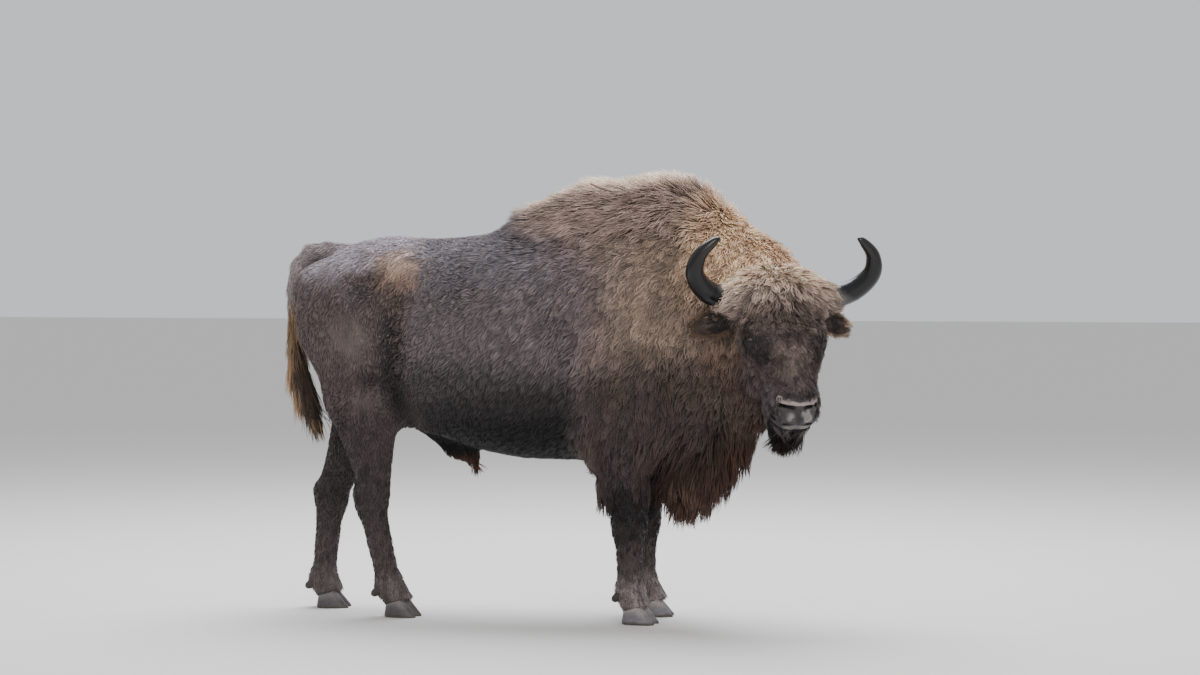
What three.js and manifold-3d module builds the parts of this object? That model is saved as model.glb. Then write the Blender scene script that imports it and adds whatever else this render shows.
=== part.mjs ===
// A European bison (wisent) bull, life size, standing on all four feet with its head turned to its
// right. Millimetres. The bull faces +X, its left side is +Y and up is +Z. The origin is on the floor
// under the middle of the whole animal.
//
// The living shape is one field of blended masses: every mass is an egg, a tapering limb or the barrel
// of the body, and gives the distance of a point from its surface, negative inside. The field runs out
// to the tips of the coat. It is meshed piece by piece and parted by thin flat cuts.

import * as THREE from 'three';
import Module from 'manifold-3d';

const wasm = await Module();
wasm.setup();

// ---------------------------------------------------------------- driving dimensions
const gap = 0.35;                 // left between two pieces that meet

// Facet sizes of the meshed pieces
const facet = { trunk: 104, upperLeg: 68, lowerLeg: 52, foot: 40, head: 49, muzzle: 32 };

// Back and belly heights and half widths of the barrel, from the croup to the base of the neck
const barrelSections = [
  { along: -640, back: 1440, belly: 960, half: 215 },
  { along: -430, back: 1514, belly: 838, half: 266 },
  { along: -210, back: 1526, belly: 700, half: 322 },
  { along: 60, back: 1546, belly: 636, half: 352 },
  { along: 330, back: 1560, belly: 626, half: 350 },
  { along: 600, back: 1560, belly: 606, half: 318 },
  { along: 860, back: 1500, belly: 640, half: 262 },
];
const barrelSquareness = 2.25;

// Joints of the four legs, and how far the ham reaches behind the knee. The left hind leg is set back,
// and the forelegs stand side by side.
const legs = {
  hindRight: {
    hip: [-548, -135, 1190], knee: [-452, -206, 872], hock: [-520, -140, 458],
    fetlock: [-446, -124, 122], foot: [-388, -124], toeOut: 4, ham: 124,
  },
  hindLeft: {
    hip: [-556, 135, 1180], knee: [-562, 203, 850], hock: [-784, 142, 438],
    fetlock: [-812, 126, 118], foot: [-764, 126], toeOut: 8, ham: 92,
  },
  foreRight: {
    elbow: [515, -205, 770], wrist: [548, -142, 386],
    fetlock: [549, -138, 128], foot: [592, -140], toeOut: 5,
  },
  foreLeft: {
    elbow: [515, 205, 770], wrist: [534, 142, 386],
    fetlock: [536, 140, 128], foot: [596, 142], toeOut: 8,
  },
};

// The head's own frame: x runs down the face from the poll to the nose, y to the bull's left,
// z straight out of the forehead. Its origin is halfway between the horns.
const headPlace = [1160, -256, 1300];
const headTurn = -61;             // degrees from straight ahead, to the bull's right
const faceSlope = 28;             // degrees by which the face leans away from upright

// A claw of the hoof
const claw = { length: 138, width: 57, height: 78, cleft: 8, toeLean: 38, heelLean: 6, sides: 8 };

// ---------------------------------------------------------------- masses
const { hypot, max, min, abs, sign, cos, sin, tan, ceil, PI } = Math;
const radians = (degrees) => (degrees * PI) / 180;

// An egg-shaped mass with its radii along the three axes
function egg([cx, cy, cz], [rx, ry, rz]) {
  return (x, y, z) => {
    const px = (x - cx) / rx;
    const py = (y - cy) / ry;
    const pz = (z - cz) / rz;
    const reach = hypot(px, py, pz);
    return (reach * (reach - 1)) / max(hypot(px / rx, py / ry, pz / rz), 1e-9);
  };
}

// A tapering limb from a to b. Thin under 1 flattens it from side to side.
function limb(a, b, radiusA, radiusB, thin = 1) {
  const [dx, dy, dz] = [b[0] - a[0], (b[1] - a[1]) / thin, b[2] - a[2]];
  const square = dx * dx + dy * dy + dz * dz;
  return (x, y, z) => {
    const [px, py, pz] = [x - a[0], (y - a[1]) / thin, z - a[2]];
    const along = min(max((px * dx + py * dy + pz * dz) / square, 0), 1);
    const reach = hypot(px - along * dx, py - along * dy, pz - along * dz);
    return (reach - radiusA - (radiusB - radiusA) * along) * thin;
  };
}

// Masses run into each other softly over the width of the blend
function blend(width, ...masses) {
  return (x, y, z) => {
    let nearest = masses[0](x, y, z);
    for (let i = 1; i < masses.length; i += 1) {
      const next = masses[i](x, y, z);
      const overlap = max(width - abs(nearest - next), 0) / width;
      nearest = min(nearest, next) - (overlap * overlap * width) / 4;
    }
    return nearest;
  };
}

// A mass and its mirror image on the other side of y = 0
const both = (mass) => (x, y, z) => mass(x, abs(y), z);

// A value between the barrel's sections, running smoothly through each of them
function between(key, x) {
  const last = barrelSections.length - 1;
  const value = (i) => barrelSections[min(max(i, 0), last)][key];
  if (x <= barrelSections[0].along) return value(0);
  if (x >= barrelSections[last].along) return value(last);
  const i = barrelSections.findIndex((section) => section.along > x) - 1;
  const start = barrelSections[i].along;
  const t = (x - start) / (barrelSections[i + 1].along - start);
  const [a, b, c, d] = [value(i - 1), value(i), value(i + 1), value(i + 2)];
  return b + 0.5 * t * (c - a + t * (2 * a - 5 * b + 4 * c - d + t * (3 * (b - c) + d - a)));
}

function barrel(x, y, z) {
  const back = between('back', x);
  const belly = between('belly', x);
  const half = between('half', x);
  const rise = (back - belly) / 2;
  const across = abs(y / half) ** barrelSquareness;
  const upright = abs((z - back + rise) / rise) ** barrelSquareness;
  const reach = (across + upright) ** (1 / barrelSquareness);
  const first = barrelSections[0].along;
  const last = barrelSections[barrelSections.length - 1].along;
  return max((reach - 1) * min(half, rise), first - x, x - last);
}

function hindquarters() {
  const pelvis = egg([-522, 0, 1180], [312, 240, 332]);
  const hipBones = both(egg([-352, 206, 1380], [92, 66, 74]));
  const buttocks = both(egg([-656, 120, 1210], [184, 122, 210]));
  const tailHead = egg([-706, 0, 1334], [172, 140, 104]);
  const flankFold = both(limb([-306, 150, 822], [-400, 176, 826], 60, 58, 0.55));
  return blend(70, pelvis, hipBones, buttocks, tailHead, flankFold);
}

function forequarters() {
  const crestBehind = limb([204, 0, 1462], [420, 0, 1486], 222, 250, 0.78);
  const crestTop = limb([420, 0, 1486], [680, 0, 1484], 250, 268, 0.8);
  const crestAhead = limb([680, 0, 1484], [1000, -78, 1318], 268, 240, 0.84);
  const shoulders = both(egg([556, 205, 1040], [262, 158, 410]));
  const neckTop = limb([790, -20, 1230], [1046, -150, 1196], 292, 212, 0.88);
  const neckSide = limb([760, -30, 1000], [1034, -150, 1010], 290, 196, 0.85);
  return blend(84, crestBehind, crestTop, crestAhead, shoulders, neckTop, neckSide);
}

function throatMane() {
  const dewlap = limb([810, -20, 860], [1010, -118, 876], 250, 164, 0.8);
  const apron = limb([770, -24, 612], [888, -70, 722], 192, 180, 0.64);
  return blend(90, dewlap, apron);
}

function hindLeg({ hip, knee, hock, fetlock, foot, ham: hamReach }) {
  const side = sign(hip[1]);
  const behindKnee = [knee[0] - hamReach, knee[1] - side * 30, knee[2] + 10];
  const aboveHock = [hock[0] + 14, hock[1], hock[2] + 60];
  const heelBone = [hock[0] - 34, hock[1], hock[2] + 40];
  const thigh = limb(hip, knee, 205, 112, 0.72);
  const ham = limb([hip[0] - 84, hip[1], hip[2] - 50], behindKnee, 176, 122, 0.7);
  const gaskin = limb(behindKnee, aboveHock, 122, 58, 0.74);
  const shin = limb(knee, aboveHock, 88, 58, 0.78);
  const heel = limb(heelBone, hock, 38, 60, 0.8);
  const cannon = limb(hock, fetlock, 60, 50, 0.88);
  const pastern = limb(fetlock, [foot[0] - 12, foot[1], 56], 58, 57, 0.98);
  return blend(40, thigh, ham, gaskin, shin, heel, cannon, pastern);
}

function foreLeg({ elbow, wrist, fetlock, foot }) {
  const side = sign(elbow[1]);
  const arm = limb([elbow[0] + 60, elbow[1] + side * 10, elbow[2] + 160], elbow, 186, 158, 0.75);
  const forearm = limb([elbow[0] + 20, elbow[1], elbow[2] - 10], wrist, 148, 70, 0.82);
  const pointOfElbow = egg([elbow[0] - 90, elbow[1] - side * 20, elbow[2] - 40], [66, 58, 96]);
  const fringeTop = [elbow[0] - 80, elbow[1] - side * 24, elbow[2] - 70];
  const fringe = limb(fringeTop, [wrist[0] - 106, wrist[1], wrist[2] + 116], 64, 44, 0.64);
  const cannon = limb(wrist, fetlock, 67, 51, 0.92);
  const pastern = limb(fetlock, [foot[0] - 12, foot[1], 56], 60, 59, 1);
  return blend(40, arm, forearm, pointOfElbow, fringe, cannon, pastern);
}

function sheath() {
  return limb([-236, 0, 694], [-136, 0, 624], 66, 46);
}

// ---------------------------------------------------------------- the head
const headFrame = (() => {
  const ahead = new THREE.Vector3(cos(radians(headTurn)), sin(radians(headTurn)), 0);
  const up = new THREE.Vector3(0, 0, 1);
  const left = new THREE.Vector3().crossVectors(up, ahead);
  const slope = radians(faceSlope);
  const downFace = ahead.clone().multiplyScalar(sin(slope)).addScaledVector(up, -cos(slope));
  const outOfFace = ahead.clone().multiplyScalar(cos(slope)).addScaledVector(up, sin(slope));
  return new THREE.Matrix4().makeBasis(downFace, left, outOfFace).setPosition(...headPlace);
})();

// Gives a mass of the head's frame in the animal's frame
function inHead(mass) {
  const [a, b, c, , d, e, f, , g, h, i] = headFrame.elements;
  const [ox, oy, oz] = headPlace;
  return (x, y, z) => {
    const [px, py, pz] = [x - ox, y - oy, z - oz];
    return mass(px * a + py * b + pz * c, px * d + py * e + pz * f, px * g + py * h + pz * i);
  };
}

function headMasses() {
  const crown = egg([-12, 0, -30], [136, 200, 130]);
  const forehead = egg([92, 0, -4], [150, 158, 88]);
  const hornStumps = both(limb([6, 120, -26], [2, 196, -22], 74, 58));
  const orbits = both(egg([190, 104, -24], [84, 60, 68]));
  const face = limb([190, 0, -56], [404, 0, -52], 126, 103, 0.98);
  const cheeks = both(egg([196, 80, -136], [170, 84, 132]));
  const nose = egg([448, 0, -38], [77, 88, 69]);
  const upperLip = both(egg([482, 40, -66], [58, 58, 52]));
  return blend(48, crown, forehead, hornStumps, orbits, face, cheeks, nose, upperLip);
}

function jawMasses() {
  const jaw = limb([226, 0, -196], [458, 0, -124], 116, 76, 0.94);
  const chin = egg([504, 0, -116], [50, 62, 48]);
  const beard = both(limb([470, 26, -158], [558, 22, -206], 52, 38));
  return blend(40, jaw, chin, beard);
}

const body = blend(90, barrel, hindquarters(), forequarters());
const trunk = blend(60, body, throatMane(), sheath());
const hindLegs = [legs.hindLeft, legs.hindRight].map(hindLeg);
const foreLegs = [legs.foreLeft, legs.foreRight].map(foreLeg);
const withoutHead = blend(46, trunk, ...hindLegs, ...foreLegs);
const flesh = blend(40, withoutHead, inHead(blend(26, headMasses(), jawMasses())));

// ---------------------------------------------------------------- meshing
// The field's values on a grid that lies in a frame, closed off at the grid's outermost corners
function sample(field, low, high, cell, frame) {
  const count = low.map((value, axis) => ceil((high[axis] - value) / cell) + 1);
  const start = low.map((value, axis) => (value + high[axis] - (count[axis] - 1) * cell) / 2);
  const point = new THREE.Vector3();
  const at = (x, y, z) => {
    point.set(x, y, z).applyMatrix4(frame);
    return field(point.x, point.y, point.z);
  };
  const index = (i, j, k) => (k * count[1] + j) * count[0] + i;
  const values = new Float64Array(count[0] * count[1] * count[2]);
  eachCell(count, 0, (...cellAt) => {
    const value = at(...cellAt.map((number, axis) => start[axis] + number * cell));
    const outermost = cellAt.some((number, axis) => number === 0 || number === count[axis] - 1);
    values[index(...cellAt)] = outermost ? max(value, cell / 2) : value;
  });
  return { count, start, at, index, values };
}

// Calls visit(i, j, k) over a grid, leaving out the last few along each axis
function eachCell(count, leftOut, visit) {
  for (let k = 0; k + leftOut < count[2]; k += 1) {
    for (let j = 0; j + leftOut < count[1]; j += 1) {
      for (let i = 0; i + leftOut < count[0]; i += 1) visit(i, j, k);
    }
  }
}

// Nets a field: one corner in each grid cell that the surface crosses, moved onto the surface, and one
// square of two facets across each grid edge that it crosses
function net(field, low, high, cell, frame = new THREE.Matrix4()) {
  const { count, start, at, index, values } = sample(field, low, high, cell, frame);
  const corners = [];
  const cornerOf = new Map();
  eachCell(count, 1, (i, j, k) => {
    const corner = cellCorner(values, index, i, j, k);
    if (!corner) return;
    cornerOf.set(index(i, j, k), corners.length);
    corners.push(corner.map((value, axis) => start[axis] + value * cell));
  });
  const triangles = [];
  const addSquare = (cells, flip) => {
    const ids = cells.map((cellAt) => cornerOf.get(index(...cellAt)));
    const [p, q, r, s] = flip ? ids.reverse() : ids;
    const across = (m, n) => hypot(...corners[m].map((value, axis) => value - corners[n][axis]));
    if (across(p, r) < across(q, s)) triangles.push([p, q, r], [p, r, s]);
    else triangles.push([q, r, s], [q, s, p]);
  };
  eachCell(count, 1, (i, j, k) => {
    const here = values[index(i, j, k)] < 0;
    const changes = (...next) => here !== values[index(...next)] < 0;
    if (changes(i + 1, j, k)) addSquare([[i, j - 1, k - 1], [i, j, k - 1], [i, j, k], [i, j - 1, k]], !here);
    if (changes(i, j + 1, k)) addSquare([[i - 1, j, k - 1], [i - 1, j, k], [i, j, k], [i, j, k - 1]], !here);
    if (changes(i, j, k + 1)) addSquare([[i - 1, j - 1, k], [i, j - 1, k], [i, j, k], [i - 1, j, k]], !here);
  });
  const ends = start.map((value, axis) => [value + cell, value + (count[axis] - 2) * cell]);
  corners.forEach((corner) => settle(corner, at, cell, ends));
  return toSolid(corners.flat(), triangles.flat()).transform(frame.elements);
}

// The mean of the places where the surface crosses a cell's edges, in cells from the grid's start
function cellCorner(values, index, i, j, k) {
  const sum = [0, 0, 0];
  let crossings = 0;
  for (let axis = 0; axis < 3; axis += 1) {
    for (let side = 0; side < 4; side += 1) {
      const a = [i, j, k];
      a[(axis + 1) % 3] += side & 1;
      a[(axis + 2) % 3] += side >> 1;
      const b = [...a];
      b[axis] += 1;
      const valueA = values[index(...a)];
      const valueB = values[index(...b)];
      if (valueA < 0 === valueB < 0) continue;
      a[axis] += valueA / (valueA - valueB);
      a.forEach((value, n) => { sum[n] += value; });
      crossings += 1;
    }
  }
  return crossings ? sum.map((value) => value / crossings) : null;
}

// How fast the field grows along each axis at a corner
function slopeAt(corner, at) {
  const step = 2;
  return [0, 1, 2].map((axis) => {
    const ahead = [...corner];
    const behind = [...corner];
    ahead[axis] += step;
    behind[axis] -= step;
    return (at(...ahead) - at(...behind)) / (2 * step);
  });
}

// Moves a corner along the field's slope until it lies on the surface, unless the grid's end cuts there
function settle(corner, at, cell, ends) {
  if (corner.some((value, axis) => value < ends[axis][0] || value > ends[axis][1])) return;
  const rounds = 4;
  const farthest = cell / 3;
  for (let round = 0; round < rounds; round += 1) {
    const slope = slopeAt(corner, at);
    const steepness = max(slope.reduce((sum, value) => sum + value * value, 0), 0.2);
    const move = max(min(at(...corner) / steepness, farthest), -farthest);
    slope.forEach((value, axis) => { corner[axis] -= move * value; });
  }
}

// ---------------------------------------------------------------- solids
function toSolid(positions, triangles) {
  const mesh = new wasm.Mesh({
    numProp: 3, vertProperties: new Float32Array(positions), triVerts: new Uint32Array(triangles),
  });
  return new wasm.Manifold(mesh);
}

// A block for cutting: its low and high corners lie in the given frame
function block(low, high, frame = new THREE.Matrix4()) {
  const box = new THREE.BoxGeometry(...low.map((value, axis) => high[axis] - value));
  box.translate(...low.map((value, axis) => (value + high[axis]) / 2));
  box.applyMatrix4(frame);
  return weld(box);
}

// Joins a geometry's doubled corners and leaves out the facets that close up at a pole
function weld(geometry) {
  const source = geometry.getAttribute('position');
  const known = new Map();
  const positions = [];
  const ids = [];
  for (let i = 0; i < source.count; i += 1) {
    const corner = [source.getX(i), source.getY(i), source.getZ(i)];
    const key = corner.map((value) => value.toFixed(3)).join();
    if (!known.has(key)) {
      known.set(key, known.size);
      positions.push(...corner);
    }
    ids.push(known.get(key));
  }
  const corners = [...geometry.index.array].map((i) => ids[i]);
  const triangles = [];
  for (let i = 0; i < corners.length; i += 3) {
    const [a, b, c] = corners.slice(i, i + 3);
    if (a !== b && b !== c && c !== a) triangles.push(a, b, c);
  }
  return toSolid(positions, triangles);
}

// Rings of equal numbers of points joined into a closed skin with a flat cap at each end
function loft(rings) {
  const sides = rings[0].length;
  const positions = rings.flat(2);
  const triangles = [];
  for (let r = 0; r + 1 < rings.length; r += 1) {
    for (let s = 0; s < sides; s += 1) {
      const [a, b] = [r * sides + s, r * sides + ((s + 1) % sides)];
      triangles.push(a, b, b + sides, a, b + sides, a + sides);
    }
  }
  const top = (rings.length - 1) * sides;
  for (let s = 1; s + 1 < sides; s += 1) {
    triangles.push(0, s + 1, s, top, top + s, top + s + 1);
  }
  return toSolid(positions, triangles);
}

// A tapering tube round a curve; radius(t) gives half its thickness along it
function tube(curve, radius, steps, sides, frame = new THREE.Matrix4()) {
  const frames = curve.computeFrenetFrames(steps);
  const rings = [];
  for (let i = 0; i <= steps; i += 1) {
    const centre = curve.getPointAt(i / steps);
    const ring = [];
    for (let s = 0; s < sides; s += 1) {
      const turn = (2 * PI * s) / sides;
      const point = centre.clone()
        .addScaledVector(frames.normals[i], radius(i / steps) * cos(turn))
        .addScaledVector(frames.binormals[i], radius(i / steps) * sin(turn))
        .applyMatrix4(frame);
      ring.push(point.toArray());
    }
    rings.push(ring);
  }
  return loft(rings);
}

const points = (list) => list.map((place) => new THREE.Vector3(...place));

// A solid with every corner moved out a little, so that what it cuts keeps the gap
function swollen(solid) {
  const { vertProperties, triVerts } = solid.getMesh();
  const geometry = new THREE.BufferGeometry();
  geometry.setAttribute('position', new THREE.BufferAttribute(new Float32Array(vertProperties), 3));
  geometry.setIndex([...triVerts]);
  geometry.computeVertexNormals();
  const normals = geometry.getAttribute('normal').array;
  return toSolid(vertProperties.map((value, i) => value + 1.4 * gap * normals[i]), triVerts);
}

// ---------------------------------------------------------------- materials
const coat = (color) => new THREE.MeshStandardMaterial({ color, roughness: 0.9, metalness: 0 });
const materials = {
  body: coat('#4b403a'),
  hump: coat('#7a6049'),
  mane: coat('#54402f'),
  leg: coat('#3c322d'),
  head: coat('#4a3c33'),
  beard: coat('#1d1917'),
  muzzle: new THREE.MeshStandardMaterial({ color: '#2b2827', roughness: 0.45, metalness: 0 }),
  horn: new THREE.MeshStandardMaterial({ color: '#2a2826', roughness: 0.4, metalness: 0 }),
  hoof: new THREE.MeshStandardMaterial({ color: '#55514d', roughness: 0.6, metalness: 0 }),
  eye: new THREE.MeshStandardMaterial({ color: '#140f0c', roughness: 0.08, metalness: 0 }),
  tail: coat('#4a3d35'),
  tailTuft: coat('#96703f'),
};

// ---------------------------------------------------------------- the scene graph
const wisent = new THREE.Group();
const headGroup = new THREE.Group();
headGroup.applyMatrix4(headFrame);
wisent.add(headGroup);

// The largest body of a cut solid, without the crumbs and the tiny facets that a cut can leave
function largest(solid) {
  const bodies = solid.decompose();
  return bodies.reduce((best, body) => (body.volume() > best.volume() ? body : best)).simplify(gap / 3);
}

// Adds a solid as a named mesh that sits at its own centre inside its group
function addNode(name, solid, material, group = wisent) {
  const body = largest(solid);
  const { vertProperties, triVerts } = body.getMesh();
  const geometry = new THREE.BufferGeometry();
  geometry.setAttribute('position', new THREE.BufferAttribute(new Float32Array(vertProperties), 3));
  geometry.setIndex([...triVerts]);
  group.updateWorldMatrix(true, false);
  geometry.applyMatrix4(group.matrixWorld.clone().invert());
  geometry.computeBoundingBox();
  const centre = geometry.boundingBox.getCenter(new THREE.Vector3());
  geometry.translate(-centre.x, -centre.y, -centre.z);
  geometry.computeVertexNormals();
  const mesh = new THREE.Mesh(geometry, material);
  mesh.name = name;
  mesh.position.copy(centre);
  group.add(mesh);
  return body;
}

// ---------------------------------------------------------------- cuts
const far = 3000;
const turned = (place, degreesX, degreesY, degreesZ) => new THREE.Matrix4()
  .makeRotationFromEuler(new THREE.Euler(radians(degreesX), radians(degreesY), radians(degreesZ)))
  .setPosition(...place);

// Each leg ends at a cut that climbs outwards from between the legs, so the belly stays whole
const legCut = { slope: 38, hindHeight: 640, foreHeight: 560, flank: 160, elbow: [-205, 130] };

// The space that a leg takes below its cut, made larger by grow
function legBlock(name, grow) {
  const { hip, knee, elbow } = legs[name];
  const side = sign((hip ?? elbow)[1]);
  const reach = hip
    ? [-far, knee[0] + legCut.flank]
    : legCut.elbow.map((value) => value + elbow[0]);
  const height = hip ? legCut.hindHeight : legCut.foreHeight;
  const slab = block([reach[0] - grow, -far, -far], [reach[1] + grow, far, grow],
    turned([0, 0, height], side * legCut.slope, 0, 0));
  const inner = gap / 2 - grow;
  return slab.intersect(block([-far, side > 0 ? inner : -far, -far], [far, side > 0 ? far : -inner, far]));
}

// The head lies ahead of an upright plane behind the ears, square to the way it looks, and above a
// plane that falls forwards under the jaw
const headCut = { behind: -168, throatHeight: 925, throatFall: 50 };

function headBlock(grow) {
  const { behind, throatHeight, throatFall } = headCut;
  const upright = turned([headPlace[0], headPlace[1], 0], 0, 0, headTurn);
  const throat = upright.clone().multiply(turned([behind, 0, throatHeight], 0, throatFall, 0));
  return block([behind - grow, -far, -far], [far, far, far], upright)
    .intersect(block([-far, -far, -grow], [far, far, far], throat));
}

// ---------------------------------------------------------------- trunk and neck
const trunkCuts = { rump: -300, shoulder: 300, neck: 800, maneTop: 760 };
const maneStart = legs.foreRight.elbow[0] + legCut.elbow[1];
const sheathCut = { from: -262, to: -60, top: 640 };

// Corners of the boxes that hold the body and the sheath
const bodyBox = { low: [-960, -460, 330], high: [1340, 460, 1840] };
const sheathBox = { low: [-330, -130, 520], high: [-20, 130, 700] };

function addTrunk() {
  let whole = net(withoutHead, bodyBox.low, bodyBox.high, facet.trunk);
  for (const name of Object.keys(legs)) whole = whole.subtract(legBlock(name, gap));
  whole = whole.subtract(headBlock(gap));
  const sheathBlock = (grow) => block([sheathCut.from - grow, -far, 0],
    [sheathCut.to + grow, far, sheathCut.top + grow]);
  const maneBlock = (grow) => block([maneStart - grow, -far, 0], [far, far, trunkCuts.maneTop + grow]);
  const upper = whole.subtract(maneBlock(gap)).subtract(sheathBlock(gap));
  const slab = (from, to) => upper
    .intersect(block([from + gap / 2, -far, -far], [to - gap / 2, far, far]));
  const hindquartersBody = addNode('hindquarters', slab(-far, trunkCuts.rump), materials.body);
  addNode('trunk', slab(trunkCuts.rump, trunkCuts.shoulder), materials.body);
  addNode('shoulders', slab(trunkCuts.shoulder, trunkCuts.neck), materials.hump);
  addNode('neck', slab(trunkCuts.neck, far), materials.hump);
  addNode('throat_mane', whole.intersect(maneBlock(0)), materials.mane);
  const sheathNet = net(withoutHead, sheathBox.low, sheathBox.high, facet.foot);
  addNode('sheath', sheathNet.intersect(sheathBlock(0)), materials.body);
  return hindquartersBody;
}

// ---------------------------------------------------------------- legs
// Heights of the cuts above the wrist or hock and above the fetlock
const lowerCut = { hind: 545, fore: 468 };
const fetlockCut = 168;

// How far each part of a leg may lie from its joints, and how far up and down the legs are meshed
const legReach = {
  upper: { behind: 240, ahead: 220, aside: 460 },
  lower: { behind: 160, ahead: 160, aside: 330 },
  pastern: { behind: 160, ahead: 160, aside: 260 },
  inwards: 10,
  top: 1000,
  ground: 20,
};

// The coronet: a plane over the claws that rises towards the toes
const coronet = { height: 66, rise: 16 };

function footFrame({ foot, toeOut }) {
  return turned([foot[0], foot[1], 0], 0, 0, sign(foot[1]) * toeOut);
}

// The space above or below the coronet of a leg's foot
function coronetBlock(leg, above) {
  const frame = footFrame(leg).multiply(turned([0, 0, coronet.height], 0, -coronet.rise, 0));
  return above
    ? block([-far, -far, gap / 2], [far, far, far], frame)
    : block([-far, -far, -far], [far, far, -gap / 2], frame);
}

// One claw of a hoof: rings from the sole up, leaning back towards the coronet
function clawSolid(leg, side) {
  const { length, width, height, cleft, toeLean, heelLean, sides } = claw;
  const levels = [
    { rise: 0, spread: 0.92 }, { rise: 10, spread: 1 }, { rise: 0.5 * height, spread: 0.97 },
    { rise: 1.4 * height, spread: 0.9 },
  ];
  const frame = footFrame(leg);
  const rings = levels.map(({ rise, spread }) => {
    const drawnIn = (1 - spread) * width;
    const toe = length / 2 - rise * tan(radians(toeLean)) - drawnIn;
    const heel = -length / 2 + rise * tan(radians(heelLean)) + drawnIn;
    const ring = [];
    for (let s = 0; s < sides; s += 1) {
      const turn = (2 * PI * s) / sides;
      const along = (toe + heel) / 2 + ((toe - heel) / 2) * cos(turn);
      const across = cleft / 2 + (width / 2) * (1 + spread * sin(turn) * (1 - 0.2 * cos(turn)));
      ring.push(new THREE.Vector3(along, side * across, rise).applyMatrix4(frame).toArray());
    }
    return side > 0 ? ring : ring.reverse();
  });
  return loft(rings).intersect(coronetBlock(leg, false));
}

// A blunt dewclaw behind the fetlock, cut to sit on the pastern
function dewclawSolid(leg, side, pastern) {
  const [x, y, z] = leg.fetlock;
  const [root, tip] = points([[x - 16, y + side * 25, z - 2], [x - 66, y + side * 33, z - 36]]);
  return tube(new THREE.LineCurve3(root, tip), (t) => 25 - 12 * t * t, 3, 6).subtract(swollen(pastern));
}

function addLeg(name, label) {
  const leg = legs[name];
  const side = sign(leg.foot[1]);
  const joints = leg.hip ? [leg.knee, leg.hock, leg.foot] : [leg.elbow, leg.wrist, leg.foot];
  const along = joints.map((joint) => joint[0]);
  const slab = (low, high) => block([-far, -far, low + gap / 2], [far, far, high - gap / 2])
    .intersect(legBlock(name, 0));
  const part = ({ behind, ahead, aside }, low, high, cell) => net(
    withoutHead,
    [min(...along) - behind, side > 0 ? -legReach.inwards : -aside, low - cell],
    [max(...along) + ahead, side > 0 ? aside : legReach.inwards, high + cell],
    cell,
  );
  const cutHeight = leg.hip ? lowerCut.hind : lowerCut.fore;
  const upper = part(legReach.upper, cutHeight, legReach.top, facet.upperLeg)
    .intersect(slab(cutHeight, far));
  const lower = part(legReach.lower, fetlockCut, cutHeight, facet.lowerLeg)
    .intersect(slab(fetlockCut, cutHeight));
  const pastern = part(legReach.pastern, legReach.ground, fetlockCut, facet.foot)
    .intersect(slab(-far, fetlockCut))
    .intersect(coronetBlock(leg, true));
  addNode(`${label}_upper`, upper, materials.leg);
  addNode(`${label}_lower`, lower, materials.leg);
  addNode(`${label}_pastern`, pastern, materials.leg);
  for (const [where, way] of [['inner', -side], ['outer', side]]) {
    addNode(`${label}_claw_${where}`, clawSolid(leg, way), materials.hoof);
    addNode(`${label}_dewclaw_${where}`, dewclawSolid(leg, way, pastern), materials.hoof);
  }
}

// ---------------------------------------------------------------- head, jaw, ears, eyes, horns
const headCuts = { muzzle: 366, mouth: -50 };
const eye = { place: [198, 139, -2], radius: 21, look: [0.05, 0.78, 0.62], socket: 33, depth: 74 };

// Corners of the boxes in the head's frame that hold the skull, and the nose with the jaw
const skullBox = { low: [-230, -310, -350], high: [headCuts.muzzle + facet.head, 310, 190] };
const noseBox = { low: [headCuts.muzzle - facet.muzzle, -200, -350], high: [680, 200, 130] };

const hornPath = (side) => new THREE.CatmullRomCurve3(points([
  [2, side * 130, -34], [2, side * 214, -26], [-2, side * 296, 20], [-36, side * 354, 88],
  [-80, side * 348, 152], [-114, side * 302, 198], [-126, side * 274, 212],
]));
const hornThickness = (t) => 48 * (1 - t ** 1.5) ** 0.85 + 3;

// An ear is a cupped leaf that points out sideways and a little down, its hollow to the front
const ear = {
  middle: [72, 236, -98], halfLength: 99, halfWidth: 54, cup: 39, thickness: 15, lean: [-24, 12, -8],
};

// One crescent section of an ear, from the root at t = 0 to the tip at t = 1
function earRing(side, t) {
  const { middle: [x, y, z], halfLength, halfWidth, cup, thickness, lean: [leanX, leanY, leanZ] } = ear;
  const place = turned([x, side * y, z], side * leanX, leanY, side * leanZ);
  const fullness = sin(PI * (0.16 + 0.74 * t)) ** 0.6;
  const along = side * halfLength * (2 * t - 1);
  const arc = (share, deep) => (turn) => [share * halfWidth * fullness * cos(turn), along, -deep * sin(turn)];
  const back = [0, 0.2, 0.4, 0.6, 0.8, 1].map((turn) => arc(1, cup * fullness)(PI * turn));
  const front = [0.8, 0.6, 0.4, 0.2].map((turn) => arc(0.84, cup * fullness - thickness)(PI * turn));
  const ring = [...back, ...front].map((corner) => new THREE.Vector3(...corner)
    .applyMatrix4(place).applyMatrix4(headFrame).toArray());
  return side > 0 ? ring : ring.reverse();
}

function earSolid(side) {
  return loft([0, 0.14, 0.3, 0.46, 0.62, 0.78, 0.91, 1].map((t) => earRing(side, t)));
}

function eyeBall(side) {
  const ball = new THREE.SphereGeometry(eye.radius, 12, 8);
  ball.translate(eye.place[0], side * eye.place[1], eye.place[2]);
  return weld(ball.applyMatrix4(headFrame));
}

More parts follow.
